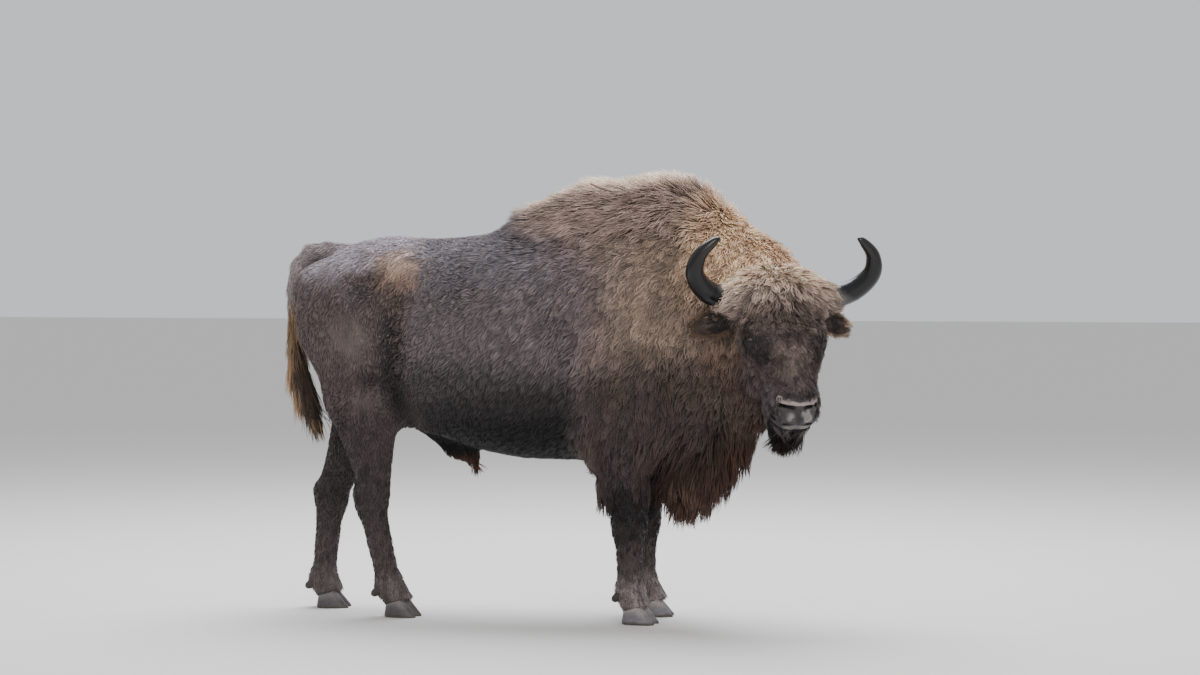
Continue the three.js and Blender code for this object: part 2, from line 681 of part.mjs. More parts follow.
// The open socket that holds the eye: the ball's own seat and a funnel out to the coat
function eyeSocket(side) {
  const seat = new THREE.SphereGeometry(eye.radius + gap, 12, 8);
  seat.translate(eye.place[0], side * eye.place[1], eye.place[2]);
  const from = new THREE.Vector3(eye.place[0], side * eye.place[1], eye.place[2]);
  const look = new THREE.Vector3(eye.look[0], side * eye.look[1], eye.look[2]);
  const line = new THREE.LineCurve3(from, from.clone().addScaledVector(look, eye.depth));
  const funnel = tube(line, (t) => eye.radius - 3 + t * eye.socket, 2, 10, headFrame);
  return weld(seat.applyMatrix4(headFrame)).add(funnel);
}

function addHead() {
  const held = headBlock(0);
  const { muzzle, mouth } = headCuts;
  const inFrame = (from, to) => block(from, to, headFrame);
  const rear = net(flesh, skullBox.low, skullBox.high, facet.head, headFrame).intersect(held);
  const front = net(flesh, noseBox.low, noseBox.high, facet.muzzle, headFrame).intersect(held);
  let skull = rear.intersect(inFrame([-far, -far, -far], [muzzle - gap / 2, far, far]));
  const nose = front.intersect(inFrame([muzzle + gap / 2, -far, mouth + gap / 2], [far, far, far]));
  const jaw = front.intersect(inFrame([muzzle + gap / 2, -far, -far], [far, far, mouth - gap / 2]));
  const cutter = swollen(skull);
  for (const [name, side] of [['left', 1], ['right', -1]]) {
    const horn = tube(hornPath(side), hornThickness, 12, 8, headFrame);
    addNode(`horn_${name}`, horn.subtract(cutter), materials.horn, headGroup);
    addNode(`ear_${name}`, earSolid(side).subtract(cutter), materials.head, headGroup);
    addNode(`eye_${name}`, eyeBall(side), materials.eye, headGroup);
    skull = skull.subtract(eyeSocket(side));
  }
  addNode('head', skull, materials.head, headGroup);
  addNode('muzzle', nose, materials.muzzle, headGroup);
  addNode('lower_jaw', jaw, materials.beard, headGroup);
}

// ---------------------------------------------------------------- tail
const tailPath = new THREE.CatmullRomCurve3(points([
  [-590, 0, 1420], [-660, 0, 1450], [-740, 0, 1466], [-812, 0, 1460], [-872, 0, 1408], [-897, 0, 1310],
  [-892, 0, 1150], [-882, 0, 1000],
]));
const tuftPath = new THREE.CatmullRomCurve3(points([
  [-884, 0, 1040], [-866, 0, 940], [-840, 0, 850], [-812, 0, 765], [-794, 0, 705],
]));
const tailThickness = (t) => 43 - 16 * min(1, t * 1.3);
const tuftThickness = (t) => 27 + 25 * sin(PI * min(1, t * 0.95)) ** 0.8 - 16 * t;

const tuftTop = 1020;             // height of the cut between the tail and its tuft

function addTail(rump) {
  const above = block([-far, -far, tuftTop + gap / 2], [far, far, far]);
  const below = block([-far, -far, -far], [far, far, tuftTop - gap / 2]);
  const dock = tube(tailPath, tailThickness, 13, 7).subtract(swollen(rump));
  addNode('tail', dock.intersect(above), materials.tail);
  addNode('tail_tuft', tube(tuftPath, tuftThickness, 7, 7).intersect(below), materials.tailTuft);
}

const rump = addTrunk();
addLeg('hindRight', 'hindleg_right');
addLeg('hindLeft', 'hindleg_left');
addLeg('foreRight', 'foreleg_right');
addLeg('foreLeft', 'foreleg_left');
addHead();
addTail(rump);

// The origin goes to the floor under the middle of the whole animal
wisent.updateMatrixWorld(true);
const whole = new THREE.Box3().setFromObject(wisent, true);
wisent.position.set(-(whole.min.x + whole.max.x) / 2, -(whole.min.y + whole.max.y) / 2, -whole.min.z);
wisent.updateMatrixWorld(true);
export default wisent;
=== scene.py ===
import math

import bmesh
import bpy
import numpy as np
import openvdb
from mathutils import Matrix, Vector
from mathutils.kdtree import KDTree


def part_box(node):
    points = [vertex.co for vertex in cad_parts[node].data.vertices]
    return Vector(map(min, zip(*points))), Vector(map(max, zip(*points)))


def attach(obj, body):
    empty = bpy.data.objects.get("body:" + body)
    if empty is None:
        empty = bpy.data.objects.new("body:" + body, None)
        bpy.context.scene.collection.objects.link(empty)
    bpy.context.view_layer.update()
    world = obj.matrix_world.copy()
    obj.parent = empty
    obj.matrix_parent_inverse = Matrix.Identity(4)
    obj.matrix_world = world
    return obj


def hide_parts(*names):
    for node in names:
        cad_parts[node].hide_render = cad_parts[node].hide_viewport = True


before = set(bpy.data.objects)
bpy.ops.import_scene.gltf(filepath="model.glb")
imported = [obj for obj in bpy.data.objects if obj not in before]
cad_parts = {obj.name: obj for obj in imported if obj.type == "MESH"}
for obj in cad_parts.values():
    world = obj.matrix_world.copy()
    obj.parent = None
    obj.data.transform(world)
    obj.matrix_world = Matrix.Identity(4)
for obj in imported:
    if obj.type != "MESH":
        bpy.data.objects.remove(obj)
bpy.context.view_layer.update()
dice = np.random.default_rng(1952)
down = np.array([0.0, 0.0, -1.0])


# Small helpers
def ramp(value, start, end):
    share = np.clip((value - start) / (end - start), 0, 1)
    return share * share * (3 - 2 * share)


def mixed(first, second, share):
    return np.asarray(first) * (1 - share) + np.asarray(second) * share


# A soft spot: 1 at the middle and fading out, from values with their middles and radii
def spot(*terms):
    return np.exp(-sum(((value - middle) / radius) ** 2 for value, middle, radius in terms))


# A point between b and c on a smooth curve through a, b, c and d
def curved(a, b, c, d, t):
    return b + 0.5 * t * (c - a + t * (2 * a - 5 * b + 4 * c - d + t * (3 * (b - c) + d - a)))


def unit(vectors):
    return vectors / np.maximum(np.linalg.norm(vectors, axis=-1, keepdims=True), 1e-9)


def linear(hexColour):
    channels = [int(hexColour[i:i + 2], 16) / 255 for i in (1, 3, 5)]
    return np.array([c / 12.92 if c <= 0.04045 else ((c + 0.055) / 1.055) ** 2.4 for c in channels])


# Smooth random values from -1 to 1 with lumps of the given size
def mottle(points, size, seed):
    places = points / size + 1000.0
    low = np.floor(places).astype(np.int64)
    share = places - low
    share = share * share * (3 - 2 * share)
    total = np.zeros(len(points))
    for corner in range(8):
        offset = np.array([corner & 1, corner >> 1 & 1, corner >> 2])
        cell = low + offset
        code = cell[:, 0] * 73856093 ^ cell[:, 1] * 19349663 ^ cell[:, 2] * 83492791 ^ seed * 2654435761
        value = ((code * 1103515245 + 12345) >> 8 & 65535) / 32767.5 - 1
        total += value * np.prod(np.where(offset, share, 1 - share), axis=1)
    return total


# The head's own frame: x down the face from the poll, y to the left, z out of the forehead
headPlace = np.array([1160.0, -256.0, 1300.0])
headTurn = math.radians(-61)
faceSlope = math.radians(28)


def headDirections():
    ahead = np.array([math.cos(headTurn), math.sin(headTurn), 0.0])
    left = np.cross(-down, ahead)
    downFace = ahead * math.sin(faceSlope) + down * math.cos(faceSlope)
    outOfFace = ahead * math.cos(faceSlope) - down * math.sin(faceSlope)
    return np.array([downFace, left, outOfFace])


headBasis = headDirections()


def toHead(points):
    return (points - headPlace) @ headBasis.T


def fromHead(points):
    return points @ headBasis + headPlace


eye = {"place": np.array([198.0, 139.0, -2.0]), "radius": 21.0, "look": unit(np.array([0.05, 0.72, 0.69])),
       "slant": math.radians(46)}

# The animal's own frame is moved so that its eye meets the eye of the solid model
eyeBox = np.array([list(corner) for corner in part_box("eye_right")]) * 1000
shift = eyeBox.mean(axis=0) - fromHead(eye["place"] * [1, -1, 1])


def toScene(points):
    return (np.asarray(points) + shift) * 0.001


# Masses: each gives the distance from its surface, negative inside
def egg(centre, radii, hair=0.0):
    (cx, cy, cz), (rx, ry, rz) = centre, [radius - hair for radius in radii]

    def mass(x, y, z):
        px, py, pz = (x - cx) / rx, (y - cy) / ry, (z - cz) / rz
        reach = np.sqrt(px * px + py * py + pz * pz)
        steepness = np.sqrt((px / rx) ** 2 + (py / ry) ** 2 + (pz / rz) ** 2)
        return reach * (reach - 1) / np.maximum(steepness, 1e-9)
    return mass


def limb(a, b, radiusA, radiusB, thin=1.0):
    dx, dy, dz = b[0] - a[0], (b[1] - a[1]) / thin, b[2] - a[2]
    square = dx * dx + dy * dy + dz * dz

    def mass(x, y, z):
        px, py, pz = x - a[0], (y - a[1]) / thin, z - a[2]
        along = np.clip((px * dx + py * dy + pz * dz) / square, 0, 1)
        reach = np.sqrt((px - along * dx) ** 2 + (py - along * dy) ** 2 + (pz - along * dz) ** 2)
        return (reach - radiusA - (radiusB - radiusA) * along) * thin
    return mass


def blendValues(width, nearest, following):
    overlap = np.maximum(width - np.abs(nearest - following), 0) / width
    return np.minimum(nearest, following) - overlap * overlap * width / 4


def blend(width, *masses):
    def mass(x, y, z):
        nearest = masses[0](x, y, z)
        for following in masses[1:]:
            nearest = blendValues(width, nearest, following(x, y, z))
        return nearest
    return mass


def both(mass):
    return lambda x, y, z: mass(x, np.abs(y), z)


def inHead(mass):
    (a, b, c), (d, e, f), (g, h, i) = headBasis

    def placed(x, y, z):
        px, py, pz = x - headPlace[0], y - headPlace[1], z - headPlace[2]
        return mass(px * a + py * b + pz * c, px * d + py * e + pz * f, px * g + py * h + pz * i)
    return placed


# Back and belly heights and half widths of the barrel, from the croup to the base of the neck
barrelSections = {
    "along": [-640, -430, -210, 60, 330, 600, 860],
    "back": [1440, 1514, 1526, 1546, 1560, 1560, 1500],
    "belly": [960, 838, 700, 636, 626, 606, 640],
    "half": [215, 266, 322, 352, 350, 318, 262],
}


def between(key, x):
    along = np.array(barrelSections["along"], float)
    values = np.array(barrelSections[key], float)
    i = np.clip(np.searchsorted(along, x) - 1, 0, len(along) - 2)
    t = np.clip((x - along[i]) / (along[i + 1] - along[i]), 0, 1)
    return curved(*(values[np.clip(i + n, 0, len(along) - 1)] for n in (-1, 0, 1, 2)), t)


def barrel(hair):
    squareness = 2.25

    def mass(x, y, z):
        back, belly = between("back", x), between("belly", x)
        half, rise, middle = between("half", x) - hair, (back - belly) / 2 - hair, (back + belly) / 2
        reach = np.abs(y / half) ** squareness + np.abs((z - middle) / rise) ** squareness
        side = (reach ** (1 / squareness) - 1) * np.minimum(half, rise)
        return np.maximum(side, np.maximum(barrelSections["along"][0] - x, x - barrelSections["along"][-1]))
    return mass


# The masses out to the tips of the coat with deep = 0, and down to the skin with deep = 1
def hindquarters(deep):
    hair = 14 * deep
    pelvis = egg([-522, 0, 1180], [312, 240, 332], hair)
    hipBones = both(egg([-352, 206, 1380], [92, 66, 74], 11 * deep))
    buttocks = both(egg([-656, 120, 1210], [184, 122, 210], hair))
    tailHead = egg([-706, 0, 1334], [172, 140, 104], hair)
    flankFold = both(limb([-306, 150, 822], [-400, 176, 826], 60 - 0.7 * hair, 58 - 0.7 * hair, 0.55))
    return blend(70, pelvis, hipBones, buttocks, tailHead, flankFold)


def forequarters(deep):
    hair = 30 * deep
    crestBehind = limb([204, 0, 1462 - hair], [420, 0, 1486 - hair], 222 - hair, 250 - hair, 0.78)
    crestTop = limb([420, 0, 1486 - hair], [680, 0, 1484 - hair], 250 - hair, 268 - hair, 0.8)
    crestAhead = limb([680, 0, 1484 - hair], [1000, -78, 1318 - 0.5 * hair], 268 - hair, 240 - hair, 0.84)
    shoulders = both(egg([556, 205, 1040], [262, 158, 410], 0.8 * hair))
    neckTop = limb([790, -20, 1230], [1046, -150, 1196], 292 - 1.2 * hair, 212 - hair, 0.88)
    neckSide = limb([760, -30, 1000], [1034, -150, 1010], 290 - 1.2 * hair, 196 - 1.2 * hair, 0.85)
    return blend(84, crestBehind, crestTop, crestAhead, shoulders, neckTop, neckSide)


def throatMane(deep):
    hair = 56 * deep
    dewlap = limb([810, -20, 860 + hair], [1010, -118, 876 + hair], 250 - hair, 164 - hair, 0.8)
    apron = limb([770, -24, 612 + 0.9 * hair], [888, -70, 722 + 0.7 * hair],
                 192 - 0.9 * hair, 180 - 1.2 * hair, 0.64)
    return blend(90, dewlap, apron)


legs = {
    "hindRight": {"hip": [-548, -135, 1190], "knee": [-452, -206, 872], "hock": [-520, -140, 458],
                  "fetlock": [-446, -124, 122], "foot": [-388, -124], "toeOut": 4, "ham": 124,
                  "node": "hindleg_right"},
    "hindLeft": {"hip": [-556, 135, 1180], "knee": [-562, 203, 850], "hock": [-784, 142, 438],
                 "fetlock": [-812, 126, 118], "foot": [-764, 126], "toeOut": 8, "ham": 92,
                 "node": "hindleg_left"},
    "foreRight": {"elbow": [515, -205, 770], "wrist": [548, -142, 386],
                  "fetlock": [549, -138, 128], "foot": [592, -140], "toeOut": 5, "node": "foreleg_right"},
    "foreLeft": {"elbow": [515, 205, 770], "wrist": [534, 142, 386],
                 "fetlock": [536, 140, 128], "foot": [596, 142], "toeOut": 8, "node": "foreleg_left"},
}
coronet = {"height": 66.0, "rise": math.tan(math.radians(16))}


# Along and across the foot from its middle, for points on or near it
def footPlace(leg, x, y):
    turn = math.radians(leg["toeOut"]) * math.copysign(1, leg["foot"][1])
    px, py = x - leg["foot"][0], y - leg["foot"][1]
    return px * math.cos(turn) + py * math.sin(turn), py * math.cos(turn) - px * math.sin(turn)


# The leg stops at the coronet, over the claws
def aboveCoronet(leg, mass):
    def cut(x, y, z):
        along, _ = footPlace(leg, x, y)
        below = (coronet["height"] + along * coronet["rise"] - z) * 0.96
        return -blendValues(8, -mass(x, y, z), -below)
    return cut


def hindLeg(leg, deep):
    hip, knee, hock, fetlock, foot = (leg[key] for key in ("hip", "knee", "hock", "fetlock", "foot"))
    side = math.copysign(1, hip[1])
    hair = 14 * deep
    low = 7 * deep
    behindKnee = [knee[0] - leg["ham"], knee[1] - side * 30, knee[2] + 10]
    aboveHock = [hock[0] + 14, hock[1], hock[2] + 60]
    heelBone = [hock[0] - 34, hock[1], hock[2] + 40]
    thigh = limb(hip, knee, 205 - hair, 112 - hair, 0.72)
    ham = limb([hip[0] - 84, hip[1], hip[2] - 50], behindKnee, 176 - hair, 122 - hair, 0.7)
    gaskin = limb(behindKnee, aboveHock, 122 - hair, 58 - low, 0.74)
    shin = limb(knee, aboveHock, 88 - hair, 58 - low, 0.78)
    heel = limb(heelBone, hock, 38 - low, 60 - low, 0.8)
    cannon = limb(hock, fetlock, 60 - low, 50 - low, 0.88)
    pastern = limb(fetlock, [foot[0] - 12, foot[1], 56], 58 - low, 57 - 0.6 * low, 0.98)
    return aboveCoronet(leg, blend(40, thigh, ham, gaskin, shin, heel, cannon, pastern))


def foreLeg(leg, deep):
    elbow, wrist, fetlock, foot = (leg[key] for key in ("elbow", "wrist", "fetlock", "foot"))
    side = math.copysign(1, elbow[1])
    hair = 30 * deep
    low = 8 * deep
    armTop = [elbow[0] + 60, elbow[1] + side * 10, elbow[2] + 160]
    arm = limb(armTop, elbow, 186 - hair, 158 - hair, 0.75)
    forearm = limb([elbow[0] + 20, elbow[1], elbow[2] - 10], wrist, 148 - 1.3 * hair, 70 - low, 0.82)
    pointOfElbow = egg([elbow[0] - 90, elbow[1] - side * 20, elbow[2] - 40], [66, 58, 96], 0.6 * hair)
    fringe = limb([elbow[0] - 80, elbow[1] - side * 24, elbow[2] - 70],
                  [wrist[0] - 106, wrist[1], wrist[2] + 116], 64 - 1.2 * hair, 44 - 1.2 * hair, 0.64)
    cannon = limb(wrist, fetlock, 67 - low, 51 - low, 0.92)
    pastern = limb(fetlock, [foot[0] - 12, foot[1], 56], 60 - low, 59 - 0.6 * low, 1)
    return aboveCoronet(leg, blend(40, arm, forearm, pointOfElbow, fringe, cannon, pastern))


# Out to the tips of its tuft, or the thin fold of skin that carries it
def sheath(deep):
    if not deep:
        return limb([-236, 0, 694], [-136, 0, 624], 66, 46)
    fold = limb([-330, 0, 790], [-200, 0, 676], 50, 34)
    end = limb([-200, 0, 676], [-134, 0, 640], 34, 21)
    return blend(20, fold, end)


def headMasses(deep):
    mat = 31 * deep
    face = 8 * deep
    crown = egg([-12, 0, -30 - 0.3 * mat], [136, 200, 130], mat)
    forehead = egg([92, 0, -4 - 0.4 * mat], [150, 158, 88], 0.7 * mat)
    hornStumps = both(limb([6, 120, -26], [2, 196, -22], 74 - 0.5 * mat, 58 - 0.4 * mat))
    orbits = both(egg([190, 104, -24], [84, 60, 68], face))
    bridge = limb([190, 0, -56], [404, 0, -52], 126 - face, 103 - face, 0.98)
    cheeks = both(egg([196, 80, -136], [170, 84, 132], 2.2 * face))
    nose = egg([448, 0, -38], [77, 88, 69], 0.25 * face)
    upperLip = both(egg([482 - deep, 40 - 3 * deep, -66 + 10 * deep], [58, 58, 52], 0.8 * face))
    return blend(48, crown, forehead, hornStumps, orbits, bridge, cheeks, nose, upperLip)


def jawMasses(deep):
    hair = 14 * deep
    jaw = limb([226, 0, -196], [458, 0, -124], 116 - 1.4 * hair, 76 - hair, 0.94)
    chin = egg([504 - 8 * deep, 0, -116 + 10 * deep], [50, 62, 48], 0.8 * hair)
    beard = both(limb([470, 26, -158 + 44 * deep], [558 - 70 * deep, 22, -206 + 90 * deep], 52 - 12 * deep,
                      38 - 10 * deep))
    return blend(40, jaw, chin, beard)


tailPath = [[-590, 0, 1420], [-660, 0, 1450], [-740, 0, 1466], [-812, 0, 1460], [-872, 0, 1408],
            [-897, 0, 1310], [-892, 0, 1150], [-880, 0, 1020], [-856, 0, 930], [-826, 0, 850]]
tailRadii = [44, 43, 41, 39, 35, 31, 30, 35, 40, 28]


def tailMass(deep):
    pieces = [limb(tailPath[i], tailPath[i + 1], tailRadii[i] - 9 * deep, tailRadii[i + 1] - 9 * deep)
              for i in range(len(tailPath) - 1)]
    return blend(6, *pieces)


# Dips (below 0) and swells that show through short hair, on both sides: centre, radii and height
bodyForms = [
    ([-120, 300, 1330], [150, 150, 150], -20),    # hollow of the flank
    ([-386, 300, 1060], [66, 130, 330], -34),     # fold between thigh and flank
    ([-560, 250, 1130], [140, 120, 130], 14),     # thigh muscle
    ([-462, 270, 972], [100, 110, 60], -14),      # hollow over the stifle
    ([-510, 270, 880], [90, 110, 90], 9),         # stifle
    ([-610, 230, 850], [60, 120, 200], -12),      # groove of the ham
    ([-530, 210, 1310], [130, 120, 90], -18),     # dip between hip bone and seat bone
    ([-690, 140, 1290], [70, 70, 80], 10),        # seat bone
    ([-240, 120, 1500], [180, 90, 80], -9),       # beside the loin
    ([110, 340, 800], [260, 120, 120], 10),       # belly's swell
    ([330, 330, 1150], [60, 130, 380], -16),      # behind the shoulder
    ([640, 330, 1180], [60, 140, 260], 16),       # ridge of the shoulder blade
    ([520, 330, 880], [120, 120, 110], 16),       # upper arm
    ([760, 300, 1000], [70, 140, 200], -18),      # ahead of the shoulder
]


def swells(forms, x, y, z):
    total = 0.0
    across = np.abs(y)
    for (cx, cy, cz), (rx, ry, rz), height in forms:
        reach = ((x - cx) / rx) ** 2 + ((across - cy) / ry) ** 2 + ((z - cz) / rz) ** 2
        total = total + height * np.maximum(1 - reach, 0) ** 2
    return total


# Faint ribs in the flank
def ribs(x, y, z):
    wave = np.cos((x + 0.28 * (z - 1000)) * (2 * math.pi / 74))
    place = ramp(x, -170, -40) * ramp(-x, -330, -190) * ramp(z, 760, 900) * ramp(-z, -1360, -1180)
    return 2.6 * wave * place * ramp(np.abs(y), 150, 230)


def wholeLeg(leg, deep):
    return (hindLeg if "hip" in leg else foreLeg)(leg, deep)


def withoutHead(deep):
    trunk = blend(60, blend(90, barrel(15 * deep), hindquarters(deep), forequarters(deep)), throatMane(deep),
                  sheath(deep))
    order = ("hindLeft", "hindRight", "foreLeft", "foreRight")
    return blend(46, trunk, *(wholeLeg(legs[key], deep) for key in order))


coatTips = blend(40, withoutHead(0), inHead(blend(26, headMasses(0), jawMasses(0))), tailMass(0))
bareBody = withoutHead(1)
bareTail = tailMass(1)


# The face in the head's own frame
faceForms = [
    ([186, 158, -66], [64, 50, 56], 16),          # temple behind the eye
    ([92, 196, -110], [60, 56, 60], -26),         # hollow between temple and ear
    ([158, 118, 34], [52, 44, 40], 7),            # brow over the eye
    ([246, 112, -4], [40, 30, 34], -6),           # hollow below the inner corner of the eye
    ([300, 84, 18], [90, 30, 40], -7),            # side of the bridge
    ([300, 0, 52], [120, 50, 40], 4),             # bridge of the nose
    ([300, 96, -100], [90, 50, 26], 6),           # cheek bone's lower edge
    ([385, 88, -70], [50, 50, 50], -6),           # behind the nostril
    ([462, 74, -20], [34, 30, 30], 8),            # wing of the nostril
    ([500, 0, 22], [26, 18, 26], -4),             # between the nostrils
    ([494, 96, -28], [52, 36, 42], -20),          # upper lip drawn in below the nostril
    ([520, 30, -10], [30, 24, 22], 4),            # wet pads under the nostrils
    ([516, 24, -66], [44, 56, 20], 9),            # lower lip
    ([500, 66, -92], [50, 40, 34], -9),           # chin drawn in at the sides
    ([330, 70, -200], [110, 60, 60], -8),         # under the jaw bone
]
# The bare edge of the nose over the nostrils, from the middle outwards; painted pale, grey skin with a
# painted sky reflection
noseEdge = [[488, 0, 32], [484, 20, 30], [475, 41, 27], [465, 60, 22], [456, 73, 18]]
nostril = {"from": [495, 22, 20], "to": [470, 66, -4], "inner": [450, 50, -22], "radii": [6, 11, 11],
           "rimFrom": [484, 2, 23], "rimTo": [446, 64, 14], "rimRadii": [9, 12]}
mouthLine = [[552, 0, -34], [540, 34, -38], [512, 70, -50], [464, 94, -68], [404, 100, -90]]


def faceAtEye(x, y, z):
    px, py, pz = x - eye["place"][0], np.abs(y) - eye["place"][1], z - eye["place"][2]
    lookX, lookY, lookZ = eye["look"]
    ahead = px * lookX + py * lookY + pz * lookZ
    lower, inward = px - ahead * lookX, -py * lookZ + pz * lookY
    along = lower * math.cos(eye["slant"]) + inward * math.sin(eye["slant"])     # to the inner corner
    above = inward * math.cos(eye["slant"]) - lower * math.sin(eye["slant"])     # towards the upper lid
    return along, above, ahead, np.sqrt(px * px + py * py + pz * pz)


def fromEye(x, y, z):
    return np.linalg.norm(np.stack([x, np.abs(y), z], 1) - eye["place"], axis=1)


# Lids over the ball with an almond opening, and fine folds round them
def withLids(skin, x, y, z):
    along, above, ahead, reach = faceAtEye(x, y, z)
    lids = reach - eye["radius"] - 3.6 - 2.2 * ramp(above, -2, 8)
    skin = blendValues(20, skin, lids)
    almond = np.sqrt((along / 1.5) ** 2 + above ** 2)
    folds = 1.2 * np.cos((almond - 17) * 1.05) * ramp(almond, 12, 16) * ramp(-almond, -34, -20)
    folds = folds * ramp(ahead, 0, 8)
    brow = 5.5 * np.exp(-((above - 24 - 0.006 * along ** 2) / 7) ** 2) * ramp(-np.abs(along), -44, -10)
    skin = skin - (folds + brow) * ramp(ahead, -14, 4)
    slit = 10 * np.sqrt(np.maximum(1 - (along / 22) ** 2, 0)) * (0.85 - 0.006 * along)
    opening = np.maximum(np.abs(above + 0.4) - slit, np.maximum(6 - ahead, np.abs(along) - 22))
    return -blendValues(2, -skin, opening)


def fromNoseEdge(x, y, z):
    pieces = [limb(noseEdge[i], noseEdge[i + 1], 0, 0)(x, np.abs(y), z) for i in range(len(noseEdge) - 1)]
    return np.minimum.reduce(pieces)


def fromNostril(x, y, z):
    return limb(nostril["from"], nostril["to"], *nostril["radii"][:2])(x, np.abs(y), z)


def withNostrils(skin, x, y, z):
    across = np.abs(y)
    rim = limb(nostril["rimFrom"], nostril["rimTo"], *nostril["rimRadii"])(x, across, z)
    inner = limb(nostril["to"], nostril["inner"], *nostril["radii"][1:])(x, across, z)
    return -blendValues(6, -blendValues(14, skin, rim), blendValues(6, fromNostril(x, y, z), inner))


def withMouth(skin, x, y, z):
    across = np.abs(y)
    line = limb(mouthLine[0], mouthLine[1], 8, 7)(x, across, z)
    for i in range(1, len(mouthLine) - 1):
        line = np.minimum(line, limb(mouthLine[i], mouthLine[i + 1], 7, 5)(x, across, z))
    cleft = limb([526, 0, 6], [546, 0, -30], 3, 3)(x, across, z)
    return -blendValues(4, -skin, np.minimum(line, cleft))


bareHead = blend(26, headMasses(1), jawMasses(1))


def faceSurface(x, y, z):
    skin = bareHead(x, y, z) - swells(faceForms, x, y, z)
    return withMouth(withNostrils(withLids(skin, x, y, z), x, y, z), x, y, z)


def skinField(x, y, z):
    body = bareBody(x, y, z) - swells(bodyForms, x, y, z) - ribs(x, y, z)
    return blendValues(30, blendValues(40, body, inHead(faceSurface)(x, y, z)), bareTail(x, y, z))


# The skin's mesh
def surfaceOf(field, low, high, cell):
    axes = [np.arange(low[i], high[i] + cell, cell) for i in range(3)]
    values = np.empty([len(axis) for axis in axes], np.float32)
    y, z = axes[1][None, :, None], axes[2][None, None, :]
    for start in range(0, len(axes[0]), 6):
        x = axes[0][start:start + 6, None, None]
        values[start:start + 6] = field(x, y, z)
    grid = openvdb.FloatGrid(4 * cell)
    grid.copyFromArray(np.clip(values, -4 * cell, 4 * cell))
    corners, quads = grid.convertToQuads(isovalue=0.0)
    return corners * cell + np.array(low), quads


# Moves points onto the surface of a field
def settled(points, field, rounds, farthest):
    points = points.copy()
    step = 0.8
    for _ in range(rounds):
        value = field(*points.T)
        slope = np.stack([field(*(points + step * axis).T) - value for axis in np.eye(3)], axis=1) / step
        steepness = np.maximum((slope ** 2).sum(axis=1), 0.25)
        points -= slope * np.clip(value / steepness, -farthest, farthest)[:, None]
    return points


# A closed leaf of crescent sections, its hollow to the front
ear = {"middle": [72, 236, -98], "halfLength": 99, "halfWidth": 54, "cup": 39, "lean": [-24, 12, -8]}


def earTurn(side):
    lean = [math.radians(angle) for angle in ear["lean"]]
    return np.array(Matrix.Rotation(side * lean[0], 3, "X") @ Matrix.Rotation(lean[1], 3, "Y")
                    @ Matrix.Rotation(side * lean[2], 3, "Z"))


# Places in the ear's own frame: across the leaf, from root to tip, and out of its hollow
def toEar(points, side):
    return ((toHead(points) - np.array(ear["middle"]) * [1, side, 1]) @ earTurn(side)) * [1, side, 1]


# How near a place is to the ear's rim, and how far it faces out of the hollow
def earEdge(points, normals, side):
    across, out, _ = toEar(points, side).T
    rim = np.sqrt((across / ear["halfWidth"]) ** 2 + np.maximum(out / ear["halfLength"], 0) ** 2)
    return rim, ((normals @ headBasis.T) @ earTurn(side))[:, 2]


def earLeaf(side):
    turn = earTurn(side)
    x, y, z = ear["middle"]
    rings = []
    for t in np.linspace(0, 0.99, 22):
        fullness = math.sin(math.pi * (0.16 + 0.74 * t)) ** 0.6
        width = ear["halfWidth"] * fullness - 3
        cup = ear["cup"] * fullness - 3
        thickness = 10 - 5 * t
        arc = np.linspace(0, math.pi, 13)
        back = np.stack([width * np.cos(arc), -cup * np.sin(arc)], 1)
        inner = arc[1:-1][::-1]
        front = np.stack([(width - 3) * np.cos(inner), -(cup - thickness) * np.sin(inner)], 1)
        section = np.concatenate([back, front])
        along = side * ear["halfLength"] * (2 * t - 1) * 0.97
        ring = np.stack([section[:, 0], np.full(len(section), along), section[:, 1]], 1)
        rings.append(ring @ turn.T + [x, side * y, z])
    return fromHead(np.concatenate(rings)), len(rings), len(rings[0])


# Squares between rings of points, with one face over each end
def ringFaces(count, sides):
    faces = []
    for r in range(count - 1):
        for s in range(sides):
            a, b = r * sides + s, r * sides + (s + 1) % sides
            faces.append([a, b, b + sides, a + sides])
    faces.append(list(range(sides))[::-1])
    faces.append(list(range((count - 1) * sides, count * sides)))
    return faces


def enclosedVolume(points, faces):
    total = 0.0
    for loop in faces:
        a = points[loop[0]]
        for i in range(1, len(loop) - 1):
            total += np.dot(a, np.cross(points[loop[i]], points[loop[i + 1]]))
    return total / 6


# Turns the faces so that they look outwards
def outward(points, faces):
    return [loop[::-1] for loop in faces] if enclosedVolume(points, faces) < 0 else faces


def meshOf(name, points, faces):
    mesh = bpy.data.meshes.new(name)
    mesh.from_pydata([tuple(point) for point in points], [], [list(map(int, loop)) for loop in faces])
    mesh.update()
    mesh.shade_smooth()
    return mesh


def pieceOf(name, mesh, material):
    piece = bpy.data.objects.new(name, mesh)
    bpy.context.scene.collection.objects.link(piece)
    mesh.materials.append(material)
    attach(piece, "root")
    return piece


def lofted(name, rings, material):
    points = np.concatenate(rings)
    faces = outward(points, ringFaces(len(rings), len(rings[0])))
    return pieceOf(name, meshOf(name, toScene(points), faces), material)


